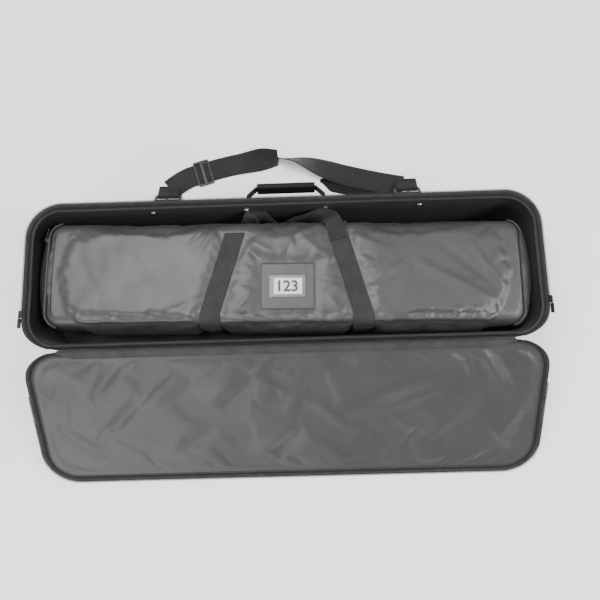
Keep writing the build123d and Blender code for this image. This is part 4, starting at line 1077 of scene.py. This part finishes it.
# ---------------------------------------------------------------- bag: ends with gusset, piping and zip
gusset_nylon = finish_of("gusset_nylon", (0.018, 0.018, 0.019), 0.5, "twill", 1.6 * mm, 0.12 * mm, coat=0.1,
                         crease=0.8 * mm, crease_scale=50)
seam_mottled = finish_of("seam_mottled", (0.055, 0.055, 0.054), 0.5, "weave", 1.6 * mm, 0.2 * mm, tint=0.5,
                         patch=120, speck=0.3)
gusset_low, gusset_wide, gusset_hem = 14, 64, radians(10)


def gusset_top(turns, wide=gusset_wide):
    """Angle of the gusset's upper seam round the bag's edge, which meets the lower seam at both ends."""
    flat, _ = bag_end(turns, bag_edge)
    share = np.minimum(1, np.abs(flat[..., 1]) / (bag_half_y - bag_edge))
    return np.radians(gusset_low + wide * np.cos(pi / 2 * share) ** 0.35)


pleat_pitch = 8.5 * mm
for side, name in ((-1, "left"), (1, "right")):
    turns = even_turns(bag_edge, 2.2 * mm, -1.45, 1.45)
    turn_grid = np.repeat(turns[:, None], 15, 1)
    gusset_span = gusset_top(turns)[:, None] + 0.04 - gusset_hem
    angle_grid = gusset_hem + gusset_span * np.linspace(0, 1, 15)[None, :]
    bare, _ = end_point(turn_grid, angle_grid, bag_edge, side)
    pleat = 0.5 * mm * np.sin(lengths_along(bare, 0, False) * 2 * pi / pleat_pitch)[:, None]
    pleat = pleat * np.sin(angle_grid * 2.5) if side < 0 else 1.1 * mm * soft_noise(bare, 38.0, 41)
    place, face = end_point(turn_grid, angle_grid, bag_edge + 0.9 * mm + pleat, side)
    sheet(f"bag_gusset_{name}", bag_points(place), 1.6 * mm, bag_ways(face),
          gusset_nylon if side < 0 else bag_coated, "bag")
    for label in ("outer", "inner"):
        end_turn = 1.15 if label == "outer" else 1.4
        turns = even_turns(bag_edge, 4 * mm, -end_turn, end_turn)
        angle = gusset_top(turns, gusset_wide if label == "inner" else 0)
        path, out = end_point(turns, angle, bag_edge + 1.8 * mm, side)
        if label == "outer":
            low = np.linspace(18 * mm, path[0, 2], 20)[:-1]
            before = np.column_stack([np.tile(path[0, :2], (len(low), 1)), low])
            after = np.column_stack([np.tile(path[-1, :2], (len(low), 1)), low[::-1]])
            path = np.concatenate([before, path, after])
            out = np.concatenate([np.tile(out[0], (len(low), 1)), out, np.tile(out[-1], (len(low), 1))])
        path, (out,) = spaced(path, 3 * mm, [out])
        out, path = bag_ways(out), bag_points(path)
        side_way = unit(np.cross(np.gradient(path, axis=0), out))
        seam = side > 0 and label == "inner"
        made = tube(f"bag_piping_{name}_{label}", path, side_way, out, (0.9 if seam else 1.6) * mm,
                    bag_coated if seam else piping_cloth, "bag")
        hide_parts(f"bag_piping_{name}")
        flange = np.linspace(-1, 1, 3)[None, :, None] * 3.2 * mm * side_way[:, None] + path[:, None]
        sheet(f"bag_piping_flange_{name}_{label}", flange - out[:, None] * mm, 0.9 * mm, out[:, None],
              gusset_nylon, "bag")

turns = even_turns(bag_edge, 2.5 * mm, -0.6, 0.6)
lens = (np.degrees(gusset_top(turns)) - gusset_low) / gusset_wide
widths = 1.5 * mm + np.linspace(0, 8.5, 6)[None, :] * mm * np.maximum(2.2 * lens - 1.2, 0.1)[:, None]
flat, out = bag_end(turns, 0.0, -1)
place = flat[:, None] - out[:, None] * (bag_edge + widths[..., None] - 5 * mm)
puckers = soft_noise(with_height(place, 0.0), 130.0, 44)
place = with_height(place, bag_height + 0.5 * mm + 0.55 * mm * puckers)
sheet("bag_seam_band", bag_points(place), 1.4 * mm, np.array([0.0, 0.0, 1.0]), seam_mottled, "bag")

coil_lift = 2.4 * mm
turns = even_turns(bag_edge, 2.5 * mm, -1.5, 1.5)
zip_angle = radians(gusset_low) + (gusset_top(turns) - radians(gusset_low)) * 0.485
turn_grid = np.repeat(turns[:, None], 7, 1)
angle_grid = zip_angle[:, None] + np.radians(np.linspace(-11, 11, 7))[None, :]
place, face = end_point(turn_grid, angle_grid, bag_edge + 1.7 * mm, -1)
bag_tape = sheet("bag_zip_cloth", bag_points(place), 0.8 * mm, bag_ways(face), gusset_nylon, "bag")
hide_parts("bag_zip_tape")
path, out = end_point(turns, zip_angle, bag_edge + coil_lift, -1)
sideways = unit(np.cross(out, unit(np.gradient(path, axis=0))))
bag_teeth = zip_teeth("bag_zip_teeth", bag_points(path), bag_ways(sideways), bag_ways(out), "bag",
                      half_width=2.1 * mm)
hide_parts("bag_zip_coil")


# ---------------------------------------------------------------- bag: label pocket
def flat_patch(name, half, low, thick, material, round_corner, wobble=0.0, replace=None):
    """A flat rounded plate on top of the bag."""
    plan, _ = rounded_outline(half[0], half[1], round_corner, 3 * mm)
    layers = [(1.0, low), (1.0, low + thick * 0.75), (1 - 0.4 * mm / half[1], low + thick)]
    shares = np.linspace(0.9, 0.1, 7)
    layers += [(share, low + thick) for share in shares]
    rings = []
    for share, height in layers:
        ring = plan * share
        lift = wobble * np.sin(ring[:, 0] * 90) * np.cos(ring[:, 1] * 70) if wobble else np.zeros(len(ring))
        rings.append(np.column_stack([ring[:, 0] + patch_x, ring[:, 1] + patch_y, height + lift]))
    rings.append(np.tile([[patch_x, patch_y, low + thick]], (len(plan), 1)))
    made = grid_piece(name, bag_points(np.array(rings)), material, "bag", wrap_cols=True, caps=True)
    if replace:
        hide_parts(replace)
    return made


def frame_stitches(name, half, height):
    plan, _ = rounded_outline(half[0], half[1], 3 * mm, 3 * mm)
    line = bag_points(with_height(plan + [patch_x, patch_y], height))
    stitches(name, line, (0.0, 0.0, 1.0), "bag", closed=True)


top_z = bag_height
flat_patch("label_patch", patch_half, top_z - 0.8 * mm, 1.8 * mm, bag_coated, 4 * mm, 0.15 * mm,
           "id_patch")
frame_stitches("label_patch_stitches", (patch_half[0] - 2.5 * mm, patch_half[1] - 2.5 * mm), top_z + mm)
flat_patch("label_window", (38 * mm, 24 * mm), top_z + 0.9 * mm, 0.5 * mm, vinyl, 3 * mm, 0,
           "id_window")
frame_stitches("label_window_stitches", (36.4 * mm, 22.4 * mm), top_z + 1.4 * mm)
flat_patch("label_card", (28.5 * mm, 16.5 * mm), top_z + 1.3 * mm, 0.5 * mm, card_white, 1 * mm,
           0, "id_card")

digits = bpy.data.curves.new("label_digits", "FONT")
digits.body = "123"
digits.size = 31 * mm
digits.align_x, digits.align_y = "CENTER", "CENTER"
digits.extrude = 0.06 * mm
digits.offset = 0.8 * mm
holder = bpy.data.objects.new("label_digits_curve", digits)
digit_mesh = bpy.data.meshes.new_from_object(holder)
bpy.data.objects.remove(holder)
digit_mesh.materials.clear()
digit_mesh.materials.append(ink_grey)
flat = coordinates(digit_mesh)
centre = (flat.min(0) + flat.max(0)) / 2
flat = flat - [centre[0], centre[1], 0] + [patch_x, patch_y, top_z + 1.86 * mm]
set_coordinates(digit_mesh, bag_points(flat))
label_digits = bpy.data.objects.new("label_digits", digit_mesh)
bpy.context.scene.collection.objects.link(label_digits)
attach(label_digits, "bag")


# ---------------------------------------------------------------- materials of the CAD pieces that stay
tricot_solid = finish_of("tricot_solid", (0.007, 0.0072, 0.008), 0.55, "solid weave", 1.6 * mm, 0.06 * mm,
                         flat=False, sheen=0.2)
plain = {
    shell_cloth: ["base_shell", "lid_cover"],
    binding_solid: ["rim_binding", "lid_binding"],
    tape_woven: ["base_zip_tape", "lid_zip_tape"],
    tricot_solid: ["floor_lining", "floor_foam", "base_board", "lid_board"],
    plastic_black: ["handle_plates", "hook_swivel_left", "hook_swivel_right", "snap_hook_left",
                    "snap_hook_right", "strap_adjuster"],
    rubber_black: ["handle_core", "handle_grip"],
    steel: ["handle_pins", "handle_rivets", "strap_rivets", "rivet_washers", "hook_gate_left",
            "hook_gate_right", "d_rings"],
    zip_black: ["zip_slider_left", "zip_slider_right", "zip_pull_left", "zip_pull_right", "bag_zip_slider",
                "bag_zip_pull"],
    strap_web: ["strap_tabs"],
}
for material, names in plain.items():
    for name in names:
        node = frame["nodes"][name]
        node.data.materials.clear()
        node.data.materials.append(material)
